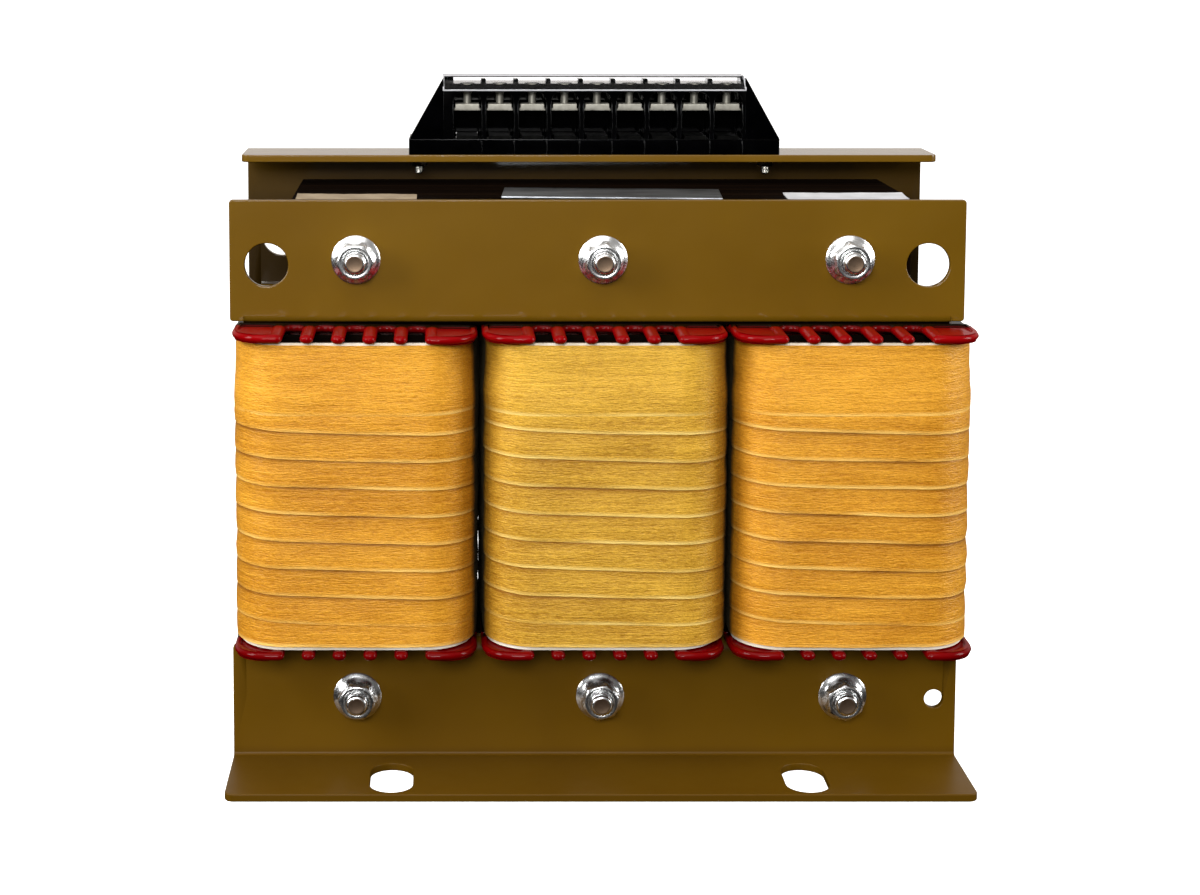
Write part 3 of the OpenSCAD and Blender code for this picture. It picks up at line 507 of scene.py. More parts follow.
def shade_by_angle(mesh, degrees):
    mesh.polygons.foreach_set("use_smooth", [True] * len(mesh.polygons))
    mesh.set_sharp_from_angle(angle=math.radians(degrees))


# %% Softened copies
def softened(node, radius, material, segments=3):
    """A copy of a CAD node with rounded edges, radius in millimetres."""
    form = bmesh.new()
    form.from_mesh(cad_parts[node].data)
    bmesh.ops.remove_doubles(form, verts=form.verts, dist=0.002 * MM)
    near = KDTree(len(form.verts))
    for number, vertex in enumerate(form.verts):
        near.insert(vertex.co, number)
    near.balance()
    slit = {v for v in form.verts if len(near.find_range(v.co, 0.01 * MM)) > 1}
    sharp = [e for e in form.edges if e.is_manifold and e.calc_face_angle() > math.radians(32)
             and not slit.intersection(e.verts)]
    bmesh.ops.bevel(form, geom=sharp, offset=radius * MM, segments=segments, profile=0.5, affect="EDGES",
                    clamp_overlap=False, offset_type="OFFSET")
    mesh = bpy.data.meshes.new(node)
    form.to_mesh(mesh)
    form.free()
    mesh.materials.clear()
    mesh.materials.append(material)
    shade_by_angle(mesh, 50)
    carrier = in_scene(node, mesh)
    weighted = carrier.modifiers.new("weighted", "WEIGHTED_NORMAL")
    weighted.weight, weighted.keep_sharp = 100, True
    return new_piece(node + "_soft", evaluated_mesh(carrier, node + "_soft"), node)


for side, top_paint in (("front", bronze), ("rear", rear_bronze_shaded)):
    softened(side + "_top_clamp", 0.5, top_paint)
    softened(side + "_bottom_clamp", 0.5, low_bronze_in_painted_shade)
softened("terminal_body", 0.3, black_gloss, 2)
softened("terminal_cover", 0.2, clear_cover, 2)
softened("bare_plate", 0.25, brushed_plate, 2)
softened("pressure_plates", 0.3, tinned_brass, 2)

# %% [markdown]
# ## Flanges
# The flanges are moulded combs: two ears and four fingers in front of the coil and the same behind it, all with
# full oval edges, joined by a thin plate with an opening for the core leg. Each part is drawn as a flat outline
# whose corners have radii. A filled 2D curve with a round bevel, pressed flatter, gives the moulded edge in one go.


# %% Outlines and flat parts
def rounded(corners, steps=6):
    """Points of a closed outline from corners given as x, y and radius in millimetres."""
    points = []
    for i, (x, y, radius) in enumerate(corners):
        here = Vector((x, y))
        if not radius:
            points.append(here)
            continue
        back = (Vector(corners[i - 1][:2]) - here).normalized()
        ahead = (Vector(corners[(i + 1) % len(corners)][:2]) - here).normalized()
        half = back.angle(ahead) / 2
        centre = here + (back + ahead).normalized() * radius / math.sin(half)
        start = here + back * radius / math.tan(half) - centre
        end = here + ahead * radius / math.tan(half) - centre
        sweep = math.atan2(start.x * end.y - start.y * end.x, start.dot(end))
        points += [centre + Matrix.Rotation(sweep * k / steps, 2) @ start for k in range(steps + 1)]
    return points


def flat_part(name, outlines, thickness, edge):
    """Outlines filled into a plate about z = 0 with round edges, sizes in millimetres."""
    curve = bpy.data.curves.new(name, "CURVE")
    curve.dimensions, curve.fill_mode = "2D", "BOTH"
    curve.extrude = (thickness / 2 - edge) * MM
    curve.bevel_depth, curve.offset, curve.bevel_resolution = edge * MM, -edge * MM, 4
    for outline in outlines:
        spline = curve.splines.new("POLY")
        spline.points.add(len(outline) - 1)
        for point, place in zip(spline.points, outline):
            point.co = (place[0] * MM, place[1] * MM, 0, 1)
        spline.use_cyclic_u = True
    return evaluated_mesh(in_scene(name, curve), name)


def joined(name, parts, material, degrees=40):
    """One mesh from meshes with the matrices that place them."""
    form = bmesh.new()
    for part, place in parts:
        copy = part.copy()
        copy.transform(place)
        if place.determinant() < 0:
            copy.flip_normals()
        form.from_mesh(copy)
        bpy.data.meshes.remove(copy)
    bmesh.ops.remove_doubles(form, verts=form.verts, dist=0.002 * MM)
    bmesh.ops.recalc_face_normals(form, faces=form.faces)
    mesh = bpy.data.meshes.new(name)
    form.to_mesh(mesh)
    form.free()
    mesh.materials.clear()
    if material:
        mesh.materials.append(material)
    shade_by_angle(mesh, degrees)
    return mesh


def shifted(x=0, y=0, z=0):
    return Matrix.Translation(Vector((x, y, z)) * MM)


TO_FRONT = Matrix.Rotation(math.pi / 2, 4, "X")

# %% Comb flanges
RIM, EDGE = 4.0, 2.6
SIDE, EAR, FRONT, ROOT = 54, 31, -80, -52.5
FINGER, FINGER_PITCH, ROUND, FILLET = 3, 13.6, 2.9, 3.5
fingers = [(i - 1.5) * FINGER_PITCH for i in range(4)]
comb = [(-SIDE, -47, 3), (-SIDE, FRONT, 16), (-EAR, FRONT, ROUND)]
for finger in fingers:
    comb += [(comb[-1][0], ROOT, FILLET), (finger - FINGER, ROOT, FILLET),
             (finger - FINGER, FRONT, ROUND), (finger + FINGER, FRONT, ROUND)]
comb += [(fingers[-1] + FINGER, ROOT, FILLET), (EAR, ROOT, FILLET), (EAR, FRONT, ROUND),
         (SIDE, FRONT, 16), (SIDE, -47, 3)]
left_pocket = [(-50.2, -54, 2), (-50.2, -75.8, 10.5), (-37, -75.8, 2), (-37, -54, 2)]
right_pocket = [(-x, y, r) for x, y, r in reversed(left_pocket)]
comb_half = flat_part("comb", [rounded(comb), rounded(left_pocket), rounded(right_pocket)], 2 * EDGE, EDGE)
comb_half.transform(Matrix.Scale(RIM / (2 * EDGE), 4, (0, 0, 1)))
pocket_floor = flat_part("pocket_floor", [rounded([(-51, -54, 0), (-51, -77, 11), (-36, -77, 2), (-36, -54, 0)])],
                         2.6, 0.1)
collar = flat_part("collar", [rounded([(-SIDE, -51, 1), (SIDE, -51, 1), (SIDE, 51, 1), (-SIDE, 51, 1)]),
                              rounded([(-31.8, -41.8, 3), (31.8, -41.8, 3), (31.8, 41.8, 3), (-31.8, 41.8, 3)])],
                   2.0, 0.3)
flip_x, flip_y = Matrix.Scale(-1, 4, (1, 0, 0)), Matrix.Scale(-1, 4, (0, 1, 0))
flange_parts = [(comb_half, Matrix()), (comb_half, flip_y)]
flange_parts += [(pocket_floor, a @ b) for a in (Matrix(), flip_x) for b in (Matrix(), flip_y)]
flange_parts.append((collar, shifted(z=-1)))
flange = joined("flange", flange_parts, red_gloss)

for coil in COILS:
    for level in ("top", "bottom"):
        node = coil + "_" + level + "_flange"
        low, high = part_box(node)
        mesh = flange.copy()
        if level == "bottom":
            mesh.transform(Matrix.Rotation(math.pi, 4, "X"))
        if node == "left_top_flange":
            mesh.transform(Matrix.Rotation(math.radians(0.6), 4, "Y"))
        mesh.transform(Matrix.Translation((low + high) / 2))
        new_piece(node + "_moulded", mesh, node)

# %% [markdown]
# ## Ribs of the terminal block
# The moulding has thin raised rims round its bays, a ledge over its base, and a gusset at each end that slopes up to
# the top of the cover. All are flat outlines seen from the front, set a hair proud of the solid.


# %% Rims, ledge and gussets
def upright(x, z_low, z_high, width=0.5):
    return [(x - width / 2, z_low), (x + width / 2, z_low), (x + width / 2, z_high), (x - width / 2, z_high)]


body_low, body_high = (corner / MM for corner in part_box("terminal_body"))
cover_low, cover_high = (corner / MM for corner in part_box("terminal_cover"))
screw_low, screw_high = (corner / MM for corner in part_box("terminal_screws"))
HEAD, HALF_BAY, LEDGE = 3.3, 6.75, body_low.z + 7.3
poles = [screw_low.x + HEAD + (screw_high.x - screw_low.x - 2 * HEAD) * i / 8 for i in range(9)]
rims = [upright((body_low.x + body_high.x) / 2, LEDGE - 0.6, LEDGE, body_high.x - body_low.x)]
for pole in poles:
    rims.append(upright(pole + HALF_BAY, body_low.z + 0.3, LEDGE - 0.65))
    rims += [upright(pole + side * HALF_BAY, LEDGE + 0.05, LEDGE + 16.5) for side in (-1, 1)]
rims = flat_part("rims", rims, 1.0, 0.15)

foot, crown = LEDGE + 0.1, cover_high.z - 0.2
left_wall, right_wall = cover_low.x + 0.4, cover_high.x - 0.4
gussets = [[(body_low.x, foot, 0), (left_wall, foot, 0), (left_wall, crown, 0.2)],
           [(body_high.x, foot, 0), (right_wall, crown, 0.2), (right_wall, foot, 0)]]
gussets = flat_part("gussets", [rounded(g) for g in gussets], 2.4, 0.15)
ribs = joined("terminal_ribs", [(rims, shifted(y=body_low.y + 0.3) @ TO_FRONT),
                                (gussets, shifted(y=body_low.y + 1.0) @ TO_FRONT)], black_gloss)
new_piece("terminal_ribs", ribs, "terminal_body")

# %% [markdown]
# ## Taped coils
# The real coils are bound with a tape about 31 mm wide, wound from the bottom up with each turn covering more than
# half of the last, so only a band of 12 mm shows and its lower edge stands proud. The last turn runs level and
# shows its full width. The same is done here: a flat profile is swept along a helix that follows a rounded
# rectangle. Each turn leans out over the ones below, the first and last turns are level, the sides swell more the
# higher they are, and slow noise along the path gives the hand-pulled unevenness.


# %% Geometry Nodes helper
class Shape(Recipe):
    """A Geometry Nodes tree with named inputs that is evaluated into a plain mesh."""

    def __init__(self, name, **inputs):
        super().__init__(bpy.data.node_groups.new(name, "GeometryNodeTree"))
        self.sockets = {}
        self.tree.interface.new_socket("Geometry", in_out="OUTPUT", socket_type="NodeSocketGeometry")
        for label, kind in {"Geometry": "Geometry", **inputs, "Material": "Material"}.items():
            socket = self.tree.interface.new_socket(label, in_out="INPUT", socket_type="NodeSocket" + kind)
            self.sockets[label] = socket.identifier
        self.inputs = self.tree.nodes.new("NodeGroupInput").outputs

    def vector(self, x=0.0, y=0.0, z=0.0):
        return self.add("ShaderNodeCombineXYZ", {0: x, 1: y, 2: z}).outputs[0]

    def scaled(self, vector, factor):
        return self.add("ShaderNodeVectorMath", {"Vector": vector, "Scale": factor}, operation="SCALE").outputs[0]

    def sum(self, first, *others):
        for other in others:
            first = self.add("ShaderNodeVectorMath", {0: first, 1: other}, operation="ADD").outputs[0]
        return first

    def noise(self, vector, scale, detail=1.0):
        """Noise about zero, from a vector in metres."""
        node = self.add("ShaderNodeTexNoise", {"Vector": vector, "Scale": scale, "Detail": detail})
        return self.math("SUBTRACT", node.outputs[0], 0.5)

    def stored(self, geometry, name, value, kind="FLOAT"):
        return self.add("GeometryNodeStoreNamedAttribute", {"Geometry": geometry, "Name": name, "Value": value},
                        data_type=kind, domain="POINT").outputs[0]

    def end(self, geometry):
        real = self.add("GeometryNodeRealizeInstances", {0: geometry})
        painted = self.add("GeometryNodeSetMaterial", {0: real.outputs[0], "Material": self.inputs["Material"]})
        self.feed(self.tree.nodes.new("NodeGroupOutput").inputs[0], painted.outputs[0])

    def mesh(self, name, start=None, **values):
        """Evaluate the tree on the start mesh with these input values."""
        carrier = in_scene(name, start or bpy.data.meshes.new(name))
        modifier = carrier.modifiers.new("shape", "NODES")
        modifier.node_group = self.tree
        for label, value in values.items():
            modifier[self.sockets[label.replace("_", " ")]] = value
        return evaluated_mesh(carrier, name)


# %% Tape wrap tree
wrap = Shape("tape_wrap", **dict.fromkeys((
    "Width", "Pitch", "Thickness", "Lean", "Turns", "Start", "Seed", "Corner",
    "Half X", "Half Y", "Bow X", "Bow Y", "Next Left", "Next Right"), "Float"))
w = wrap.inputs
STEPS_PER_TURN, WAVER, SWELL = 190.0, 1.6 * MM, 0.8
ring = wrap.add("GeometryNodeCurvePrimitiveQuadrilateral", {
    "Width": wrap.times(w["Half X"], 2.0), "Height": wrap.times(w["Half Y"], 2.0)})
ring = wrap.add("GeometryNodeFilletCurve", {
    "Curve": ring.outputs[0], "Count": 12, "Radius": w["Corner"]}, mode="POLY").outputs[0]
thread = wrap.add("GeometryNodeCurvePrimitiveLine", {"End": (1.0, 0.0, 0.0)}).outputs[0]
thread = wrap.add("GeometryNodeResampleCurve", {
    "Curve": thread, "Count": wrap.times(w["Turns"], STEPS_PER_TURN)}).outputs[0]
turn = wrap.times(wrap.add("GeometryNodeSplineParameter").outputs["Factor"], w["Turns"])
place = wrap.add("GeometryNodeSampleCurve", {
    "Curves": ring, "Factor": wrap.math("FRACT", wrap.math("SUBTRACT", w["Start"], turn))}, mode="FACTOR")
outward = wrap.add("ShaderNodeVectorMath", {0: place.outputs["Tangent"], 1: (0, 0, 1)},
                   operation="CROSS_PRODUCT").outputs[0]
flat = wrap.parts(place.outputs["Position"])


def bowed(a, half_a, bow, b, half_b):
    """Coordinate a pushed out by the bow where the other coordinate b is near its middle."""
    rest = wrap.math("DIVIDE", b, half_b)
    hump = wrap.math("SUBTRACT", 1.0, wrap.times(rest, rest))
    push = wrap.times(wrap.times(hump, hump), bow)
    return wrap.math("MULTIPLY_ADD", wrap.math("DIVIDE", a, half_a), push, a)


first_turn = wrap.span(turn, 0.0, 1.0, -1.0, 0.0)
last_turn = wrap.math("MINIMUM", wrap.math("MAXIMUM", wrap.math(
    "SUBTRACT", turn, wrap.math("SUBTRACT", w["Turns"], 1.0)), 0.0), 1.0)
layer = wrap.times(wrap.math("ADD", first_turn, last_turn), w["Thickness"])
climb = wrap.math("MINIMUM", wrap.math("MAXIMUM", wrap.math("SUBTRACT", turn, 1.0), 0.0),
                  wrap.math("SUBTRACT", w["Turns"], 2.0))
waver = wrap.noise(wrap.vector(wrap.times(turn, 9.0), w["Seed"]), 1.0, 2.0)
rise = wrap.math("MULTIPLY_ADD", climb, w["Pitch"],
                 wrap.times(waver, wrap.times(wrap.span(climb, 0.0, 0.3), WAVER)))
upper = wrap.math("DIVIDE", climb, wrap.math("SUBTRACT", w["Turns"], 2.0))
swell = wrap.times(w["Bow X"], wrap.math("MULTIPLY_ADD", upper, SWELL, 1.0))
path = wrap.sum(
    wrap.vector(bowed(flat[0], w["Half X"], swell, flat[1], w["Half Y"]),
                bowed(flat[1], w["Half Y"], w["Bow Y"], flat[0], w["Half X"]), rise),
    wrap.scaled(outward, layer))
helix = wrap.add("GeometryNodeSetPosition", {"Geometry": thread, "Position": path}).outputs[0]
helix = wrap.stored(helix, "outward", outward, "FLOAT_VECTOR")
aside = wrap.parts(outward)[0]
# How squarely a side faces the next coil; the tape is painted dark there as shade.
inner = wrap.math("MAXIMUM", wrap.times(aside, w["Next Right"]),
                  wrap.times(aside, wrap.times(w["Next Left"], -1.0)))
helix = wrap.stored(helix, "inner", inner)
helix = wrap.add("GeometryNodeSetCurveNormal", {"Curve": helix}, mode="Z_UP").outputs[0]

# %% Tape profile and unevenness
BELLY, LUMPS, WRINKLES = 0.30 * MM, 1.3 * MM, 0.45 * MM
profile = wrap.add("GeometryNodeCurvePrimitiveQuadrilateral", {"Width": w["Thickness"], "Height": w["Width"]})
profile = wrap.add("GeometryNodeSubdivideCurve", {"Curve": profile.outputs[0], "Cuts": 7}).outputs[0]
corner = wrap.parts(wrap.add("GeometryNodeInputPosition").outputs[0])
across = wrap.math("ADD", wrap.math("DIVIDE", corner[1], w["Width"]), 0.5)
belly = wrap.math("SINE", wrap.span(across, 0.6, 1.0, 0.0, math.pi))
stand = wrap.math("MULTIPLY_ADD", across, w["Lean"], wrap.times(belly, BELLY))
profile = wrap.stored(profile, "across", across)
profile = wrap.add("GeometryNodeSetPosition", {
    "Geometry": profile, "Position": wrap.vector(
        wrap.math("SUBTRACT", wrap.math("SUBTRACT", corner[0], stand), wrap.times(w["Thickness"], 0.5)),
        wrap.math("SUBTRACT", corner[1], wrap.times(w["Width"], 0.5)))}).outputs[0]
bound = wrap.add("GeometryNodeCurveToMesh", {
    "Curve": helix, "Profile Curve": profile, "Fill Caps": True}).outputs[0]
surface = wrap.add("GeometryNodeInputPosition").outputs[0]
seeded = wrap.sum(wrap.add("ShaderNodeVectorMath", {0: surface, 1: (1, 1, 3.2)}, operation="MULTIPLY").outputs[0],
                  wrap.vector(0.0, 0.0, w["Seed"]))
lumps = wrap.math("MULTIPLY_ADD", wrap.noise(seeded, 30.0), LUMPS,
                  wrap.times(wrap.noise(seeded, 110.0), WRINKLES))
carried = wrap.add("GeometryNodeInputNamedAttribute", {"Name": "outward"}, data_type="FLOAT_VECTOR").outputs[0]
wrap.end(wrap.add("GeometryNodeSetPosition", {
    "Geometry": bound, "Offset": wrap.scaled(carried, lumps)}).outputs[0])

# %% Wrap the three coils
TAPE, LAP, PLY = 31.0, 12.2, 0.35
HALF_DEPTH, FRONT_BOW, BEND = 75.6, 0.8, 22
wound = {"left": (0.0, 52.1, 1.5), "middle": (1.15, 52.65, 1.5), "right": (0.2, 51.6, 0.4)}
for number, (coil, (shift, half, bow)) in enumerate(wound.items()):
    node = coil + "_tape_wrap"
    low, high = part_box(node)
    room_up = (high.z - low.z) / MM - TAPE
    mesh = wrap.mesh(node + "_wound", Width=TAPE * MM, Pitch=LAP * MM, Thickness=PLY * MM, Lean=PLY * TAPE / LAP * MM,
                     Turns=2 + room_up / LAP, Start=0.47 + 0.012 * number, Bow_X=bow * MM, Bow_Y=FRONT_BOW * MM,
                     Half_X=half * MM, Half_Y=HALF_DEPTH * MM, Corner=BEND * MM, Seed=3.7 * number,
                     Next_Left=float(coil != "left"), Next_Right=float(coil != "right"),
                     Material=pale_tape if coil == "middle" else gold_tape)
    mesh.transform(Matrix.Translation(((low.x + high.x) / 2 + shift * MM, 0, low.z)))
    shade_by_angle(mesh, 45)
    new_piece(node + "_wound", mesh, node)

# %% [markdown]
# ## Nuts, bolts and screws
# Fasteners are turned and pressed, so each is a profile carried round an axis. Where the profile runs through the
# hexagon, the radius is cut back to the flats, and the coned top of a nut then meets them in the curved lines that
# every real nut has. Along a thread the radius follows a helix. One piece of each kind is made, and a small
# Geometry Nodes tree sets copies on points, each turned as it stopped when tightened.


# %% Turned pieces
def turned(name, rings, flats=0.0, pitch=1.5, steps=72, bored=False):
    """Profile of radii and heights carried round Z, in millimetres. A ring may be marked hex or thread."""
    points, faces = [], []
    for radius, height, *mark in rings:
        for step in range(steps):
            angle = 2 * math.pi * step / steps
            reach = radius
            if "hex" in mark:
                reach = min(radius, flats / 2 / math.cos((angle + math.pi / 6) % (math.pi / 3) - math.pi / 6))
            if "thread" in mark:
                phase = (height / pitch + angle / 2 / math.pi) % 1
                reach = radius - 0.55 * pitch * abs(2 * phase - 1)
            points.append(Vector((reach * math.cos(angle), reach * math.sin(angle), height)) * MM)
    count = len(rings) if bored else len(rings) - 1
    for ring in range(count):
        for step in range(steps):
            a, b = ring * steps, (ring + 1) % len(rings) * steps
            faces.append((a + step, a + (step + 1) % steps, b + (step + 1) % steps, b + step))
    if not bored:
        faces.append(tuple(reversed(range(steps))))
        faces.append(tuple(range(count * steps, (count + 1) * steps)))
    mesh = bpy.data.meshes.new(name)
    mesh.from_pydata(points, [], faces)
    return joined(name, [(mesh, Matrix())], None, 35)


def steps_between(first, last, count):
    return [first + (last - first) * k / count for k in range(count + 1)]


# %% Copies on points
copies = Shape("copies_on_points", Piece="Object")
item = copies.add("GeometryNodeObjectInfo", {"Object": copies.inputs["Piece"]}).outputs["Geometry"]
turns = copies.add("GeometryNodeInputNamedAttribute", {"Name": "turn"}, data_type="FLOAT_VECTOR").outputs[0]
copies.end(copies.add("GeometryNodeInstanceOnPoints", {
    "Points": copies.inputs["Geometry"], "Instance": item, "Rotation": turns}).outputs[0])


def placed(name, piece, places, material, *replaced):
    """Copies of a mesh at places given as a point in millimetres and a turn."""
    points = bpy.data.meshes.new(name + "_points")
    points.from_pydata([Vector(p) * MM for p, t in places], [], [])
    attribute = points.attributes.new("turn", "FLOAT_VECTOR", "POINT")
    for value, (p, t) in zip(attribute.data, places):
        value.vector = t
    carrier = in_scene(name + "_one", piece)
    mesh = copies.mesh(name, points, Piece=carrier, Material=material)
    bpy.data.objects.remove(carrier)
    return new_piece(name, mesh, *replaced)


def middle(node):
    low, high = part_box(node)
    return (low + high) / 2 / MM


# %% Flange nuts and bolts
AF, CORNER, SKIRT, NUT = 15.0, 8.7, 10.9, 10.0
skirt = [(SKIRT - 0.5, 0.0), (SKIRT, 0.4), (SKIRT, 0.9), (SKIRT - 0.5, 1.35),
         (SKIRT - 1.4, 1.75), (SKIRT - 2.4, 2.5), (8.05, 3.2, "hex")]
cone = [(CORNER - t * 1.5, NUT - 0.95 + t * 0.95, "hex") for t in steps_between(0, 1, 8)]
nut = skirt + [(CORNER, 3.6, "hex"), (CORNER, 6.5, "hex")] + cone
nut += [(7.0, NUT + 0.02), (6.0, NUT), (5.7, NUT - 0.15), (5.1, NUT - 1.1), (5.1, 0.0)]
flange_nut = turned("flange_nut", nut, AF, bored=True)

TIP, SEAT = 14.0, -98.0
bolt = [(0.4, SEAT - 9), (6.3, SEAT - 9)]
bolt += [(6.9 + t * 1.8, SEAT - 8.95 + t * 0.95, "hex") for t in steps_between(0, 1, 8)]
bolt += [(CORNER, SEAT - 5.5, "hex"), (CORNER, SEAT - 3.4, "hex"), (8.05, SEAT - 3, "hex"),
         (SKIRT - 2.4, SEAT - 2.4), (SKIRT - 1.0, SEAT - 1.6), (SKIRT, SEAT - 0.9),
         (SKIRT, SEAT - 0.3), (SKIRT - 0.4, SEAT), (5.0, SEAT), (5.0, 4.0)]
bolt += [(4.95, z, "thread") for z in steps_between(5.0, 11.6, 40)]
bolt += [(3.25 + 1.6 * math.cos(a), TIP - 1.75 + 1.75 * math.sin(a)) for a in steps_between(0.1, 1.5, 7)]
bolt += [(3.0, TIP - 0.1), (0.8, TIP - 0.14), (0.2, TIP - 0.16)]
flange_bolt = turned("flange_bolt", bolt, AF)

SLEEVE = 6.2
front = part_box("front_top_clamp")[0].y / MM
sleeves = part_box("bolt_sleeves")
legs = [middle(coil + "_former").x for coil in COILS]
rows = [sleeves[0].z / MM + SLEEVE, sleeves[1].z / MM - SLEEVE]
nut_places, bolt_places = [], []
for row, height in enumerate(rows):
    for leg, angle in zip(legs, (12, 50, 33)):
        nut_places.append(((leg, front, height), (0, math.radians(angle - 8 * row + 25), 0)))
        bolt_places.append(((leg, front, height), (0, math.radians(3 * angle), 0)))
flange_nut.transform(TO_FRONT)
flange_bolt.transform(TO_FRONT)
placed("clamp_nuts_turned", flange_nut, nut_places, bright_zinc, "clamp_nuts")
placed("clamp_bolts_turned", flange_bolt, bolt_places, bright_zinc, "clamp_bolts")

# %% Terminal screws and fixing screws
neck = [(1.0, -0.2), (1.85, 0.0), (1.8, 3.2)]
neck += [(1.8 + 1.1 * (1 - math.cos(a)), 3.2 + 2.4 * math.sin(a)) for a in steps_between(0.1, 1.45, 6)]
neck += [(3.3, 5.9), (3.3, 8.8), (2.9, 9.2), (0.5, 9.2)]
depth = (screw_low.y + screw_high.y) / 2
placed("terminal_screws_turned", turned("terminal_screw", neck, steps=36),
       [((x, depth, screw_low.z), (0, 0, 0)) for x in poles], tinned_brass, "terminal_screws")

HALF_NUT = 4.04
fixing = [(0.3, 15.8), (2.0, 15.8), (2.0, 7.0), (3.3, 7.0, "hex")]
fixing += [(3.6, 6.9, "hex"), (4.1, 6.6, "hex"), (4.1, 4.2, "hex"), (3.7, 3.95, "hex"), (3.4, 3.8, "hex")]
fixing += [(2.05, 3.8)] + [(2.05, z, "thread") for z in steps_between(3.6, 0.7, 28)]
fixing += [(1.5, 0.45), (1.1, 0.0), (0.3, 0.0)]
stud = turned("fixing_screw", list(reversed(fixing)), 7.0, 0.7, 36)
stud_low, stud_high = (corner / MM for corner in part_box("fixing_screws"))
depth = (stud_low.y + stud_high.y) / 2
placed("fixing_screws_turned", stud, [((stud_low.x + HALF_NUT, depth, stud_low.z), (0, 0, 0.3)),
                                      ((stud_high.x - HALF_NUT, depth, stud_low.z), (0, 0, 0.8))],
       nut_in_painted_shade, "fixing_screws")

# %% [markdown]
# ## Laminated core
# The core is a pile of thin steel sheets, stamped as an E and an I and bolted through. They never line up quite:
# each sheet stands a few hundredths of a millimetre off its neighbours, which is what draws the fine lines over the
# yoke. One sheet of each kind is drawn with its bolt holes and copied along the stack with a seeded offset.

# %% Stack of sheets
pile = Shape("sheet_pile", Sheet="Object", Count="Int", Pitch="Float", Stray="Float", Seed="Int")
p = pile.inputs
line = pile.add("GeometryNodeMeshLine", {"Count": p["Count"], "Offset": pile.vector(0.0, p["Pitch"], 0.0)})
back = pile.times(p["Stray"], -1.0)
astray = pile.add("FunctionNodeRandomValue", {
    "Min": pile.vector(back, 0.0, back), "Max": pile.vector(p["Stray"], 0.0, p["Stray"]), "Seed": p["Seed"]},
    data_type="FLOAT_VECTOR")
line = pile.add("GeometryNodeSetPosition", {"Geometry": line.outputs[0], "Offset": astray.outputs[0]})
sheet = pile.add("GeometryNodeObjectInfo", {"Object": p["Sheet"]}).outputs["Geometry"]
pile.end(pile.add("GeometryNodeInstanceOnPoints", {"Points": line.outputs[0], "Instance": sheet}).outputs[0])


def sheet_stack(node, outlines, seed):
    low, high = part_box(node)
    one = flat_part(node + "_sheet", outlines, SHEET - 0.02, 0.0)
    one.transform(TO_FRONT)
    one = joined(node + "_sheet", [(one, Matrix())], core_steel)
    carrier = in_scene(node + "_sheet", one)
    count = round((high.y - low.y) / MM / SHEET)
    mesh = pile.mesh(node + "_sheets", Sheet=carrier, Count=count, Pitch=SHEET * MM, Stray=0.08 * MM, Seed=seed,
                     Material=core_steel)
    bpy.data.objects.remove(carrier)
    mesh.transform(Matrix.Translation((0, low.y + SHEET / 2 * MM, 0)))
    new_piece(node + "_sheets", mesh, node)


def ring_outline(x, y, radius, count=20):
    return [(x + radius * math.cos(a), y + radius * math.sin(a)) for a in steps_between(0, 2 * math.pi, count)[:-1]]


HALF_LEG, HOLE = 29, 6.4
e_low, e_high = (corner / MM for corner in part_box("core_e_stack"))
i_low, i_high = (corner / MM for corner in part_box("core_i_yoke"))
yoke_top = e_low.z + i_high.z - e_high.z
e_sheet = [(e_low.x, e_low.z), (e_high.x, e_low.z)]
for leg in reversed(legs):
    e_sheet += [(leg + HALF_LEG, yoke_top), (leg + HALF_LEG, e_high.z),
                (leg - HALF_LEG, e_high.z), (leg - HALF_LEG, yoke_top)]
del e_sheet[2], e_sheet[-1]  # the outer legs run straight down into the yoke
sheet_stack("core_e_stack", [e_sheet] + [ring_outline(leg, rows[0], HOLE) for leg in legs], 4)
i_sheet = [(i_low.x, i_low.z), (i_high.x, i_low.z), (i_high.x, i_high.z), (i_low.x, i_high.z)]
sheet_stack("core_i_yoke", [i_sheet] + [ring_outline(leg, rows[1], HOLE) for leg in legs], 9)

# %% [markdown]
# ## Paper tabs
# Two strips of insulating paper stick out over the yoke, torn along the back edge and not quite flat. A thin slab
# is bent and frayed by noise.

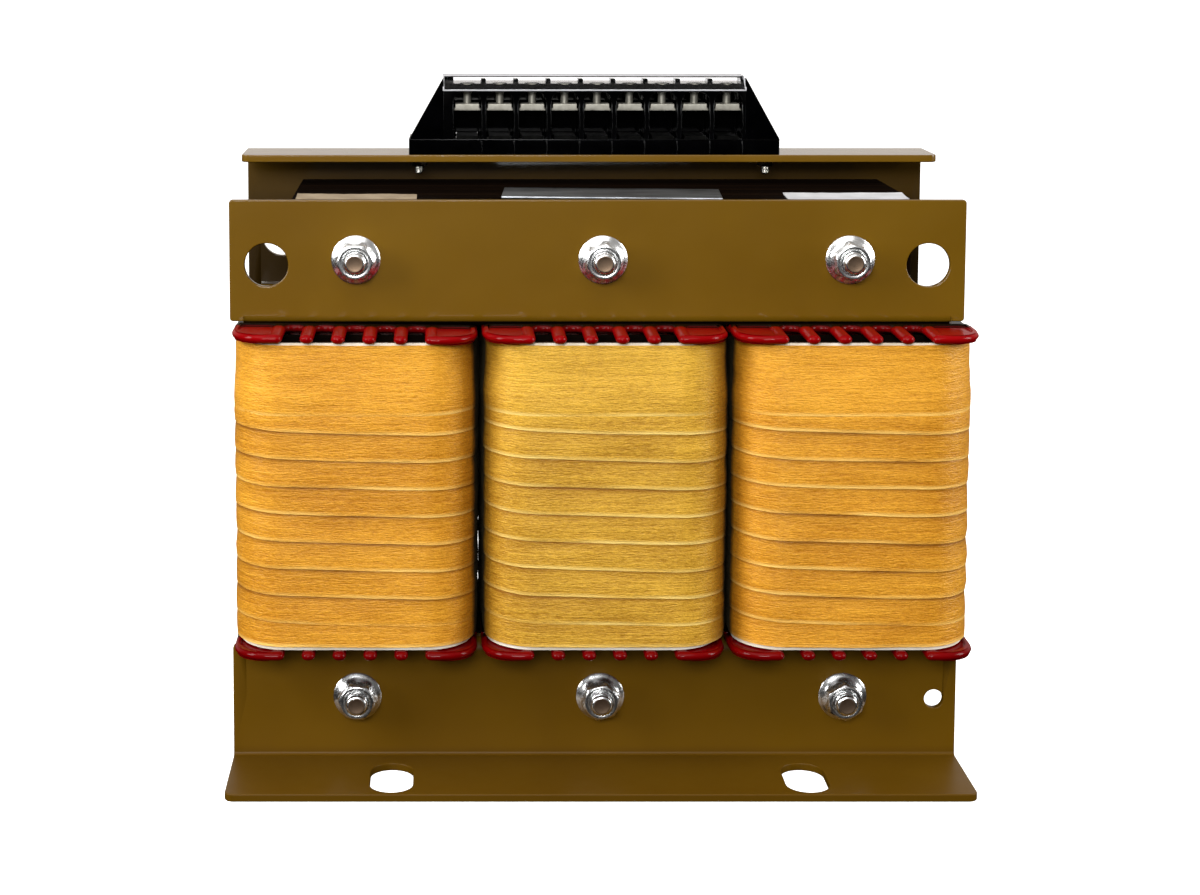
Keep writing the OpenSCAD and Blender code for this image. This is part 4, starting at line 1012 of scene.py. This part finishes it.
# %% Torn paper
torn = Shape("torn_paper", Size="Vector", Fray="Float", Lift="Float", Seed="Float")
t = torn.inputs
slab = torn.add("GeometryNodeMeshCube", {"Size": t["Size"], "Vertices X": 80, "Vertices Y": 12, "Vertices Z": 2})
size = torn.parts(t["Size"])
here = torn.add("GeometryNodeInputPosition").outputs[0]
part = torn.parts(here)
share = torn.math("ADD", torn.math("DIVIDE", part[1], size[1]), 0.5)
tear = torn.noise(torn.vector(part[0], t["Seed"]), 190.0, 4.0)
sway = torn.noise(torn.sum(here, torn.vector(0.0, 0.0, t["Seed"])), 45.0)
offset = torn.vector(0.0, torn.times(torn.times(tear, share), t["Fray"]),
                     torn.times(torn.math("MULTIPLY_ADD", sway, 1.4, torn.times(share, share)), t["Lift"]))
torn.end(torn.add("GeometryNodeSetPosition", {"Geometry": slab.outputs[0], "Offset": offset}).outputs[0])
for node, paper, seed in (("left_paper_tab", aged_paper, 1.3), ("right_paper_tab", white_paper, 5.1)):
    low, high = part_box(node)
    extent = high - low
    mesh = torn.mesh(node + "_torn", Size=(extent.x, extent.y, 0.5 * MM), Fray=3.5 * MM, Lift=0.7 * MM, Seed=seed,
                     Material=paper)
    mesh.transform(Matrix.Translation((low.x + extent.x / 2, low.y + extent.y / 2, low.z + 0.45 * MM)))
    shade_by_angle(mesh, 60)
    new_piece(node + "_torn", mesh, node)

# %% [markdown]
# ## Solids that stay as they are
# What lies inside the coils and between the clamps keeps its CAD shape and only gets a finish.

# %% Finishes of the remaining solids
kept = {"bolt_sleeves": cream_paper, "terminal_bars": bars_in_painted_shade}
for side in ("front", "rear"):
    kept[side + "_top_board"] = kept[side + "_bottom_board"] = black_board
for coil in COILS:
    kept[coil + "_former"] = red_gloss
    kept[coil + "_inner_winding"] = kept[coil + "_outer_winding"] = copper
    kept[coil + "_layer_insulation"], kept[coil + "_paper"] = dark_paper_in_shade, cream_paper
for node, finish in kept.items():
    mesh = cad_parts[node].data
    mesh.materials.clear()
    mesh.materials.append(finish)
print("solids given a finish:", len(kept))
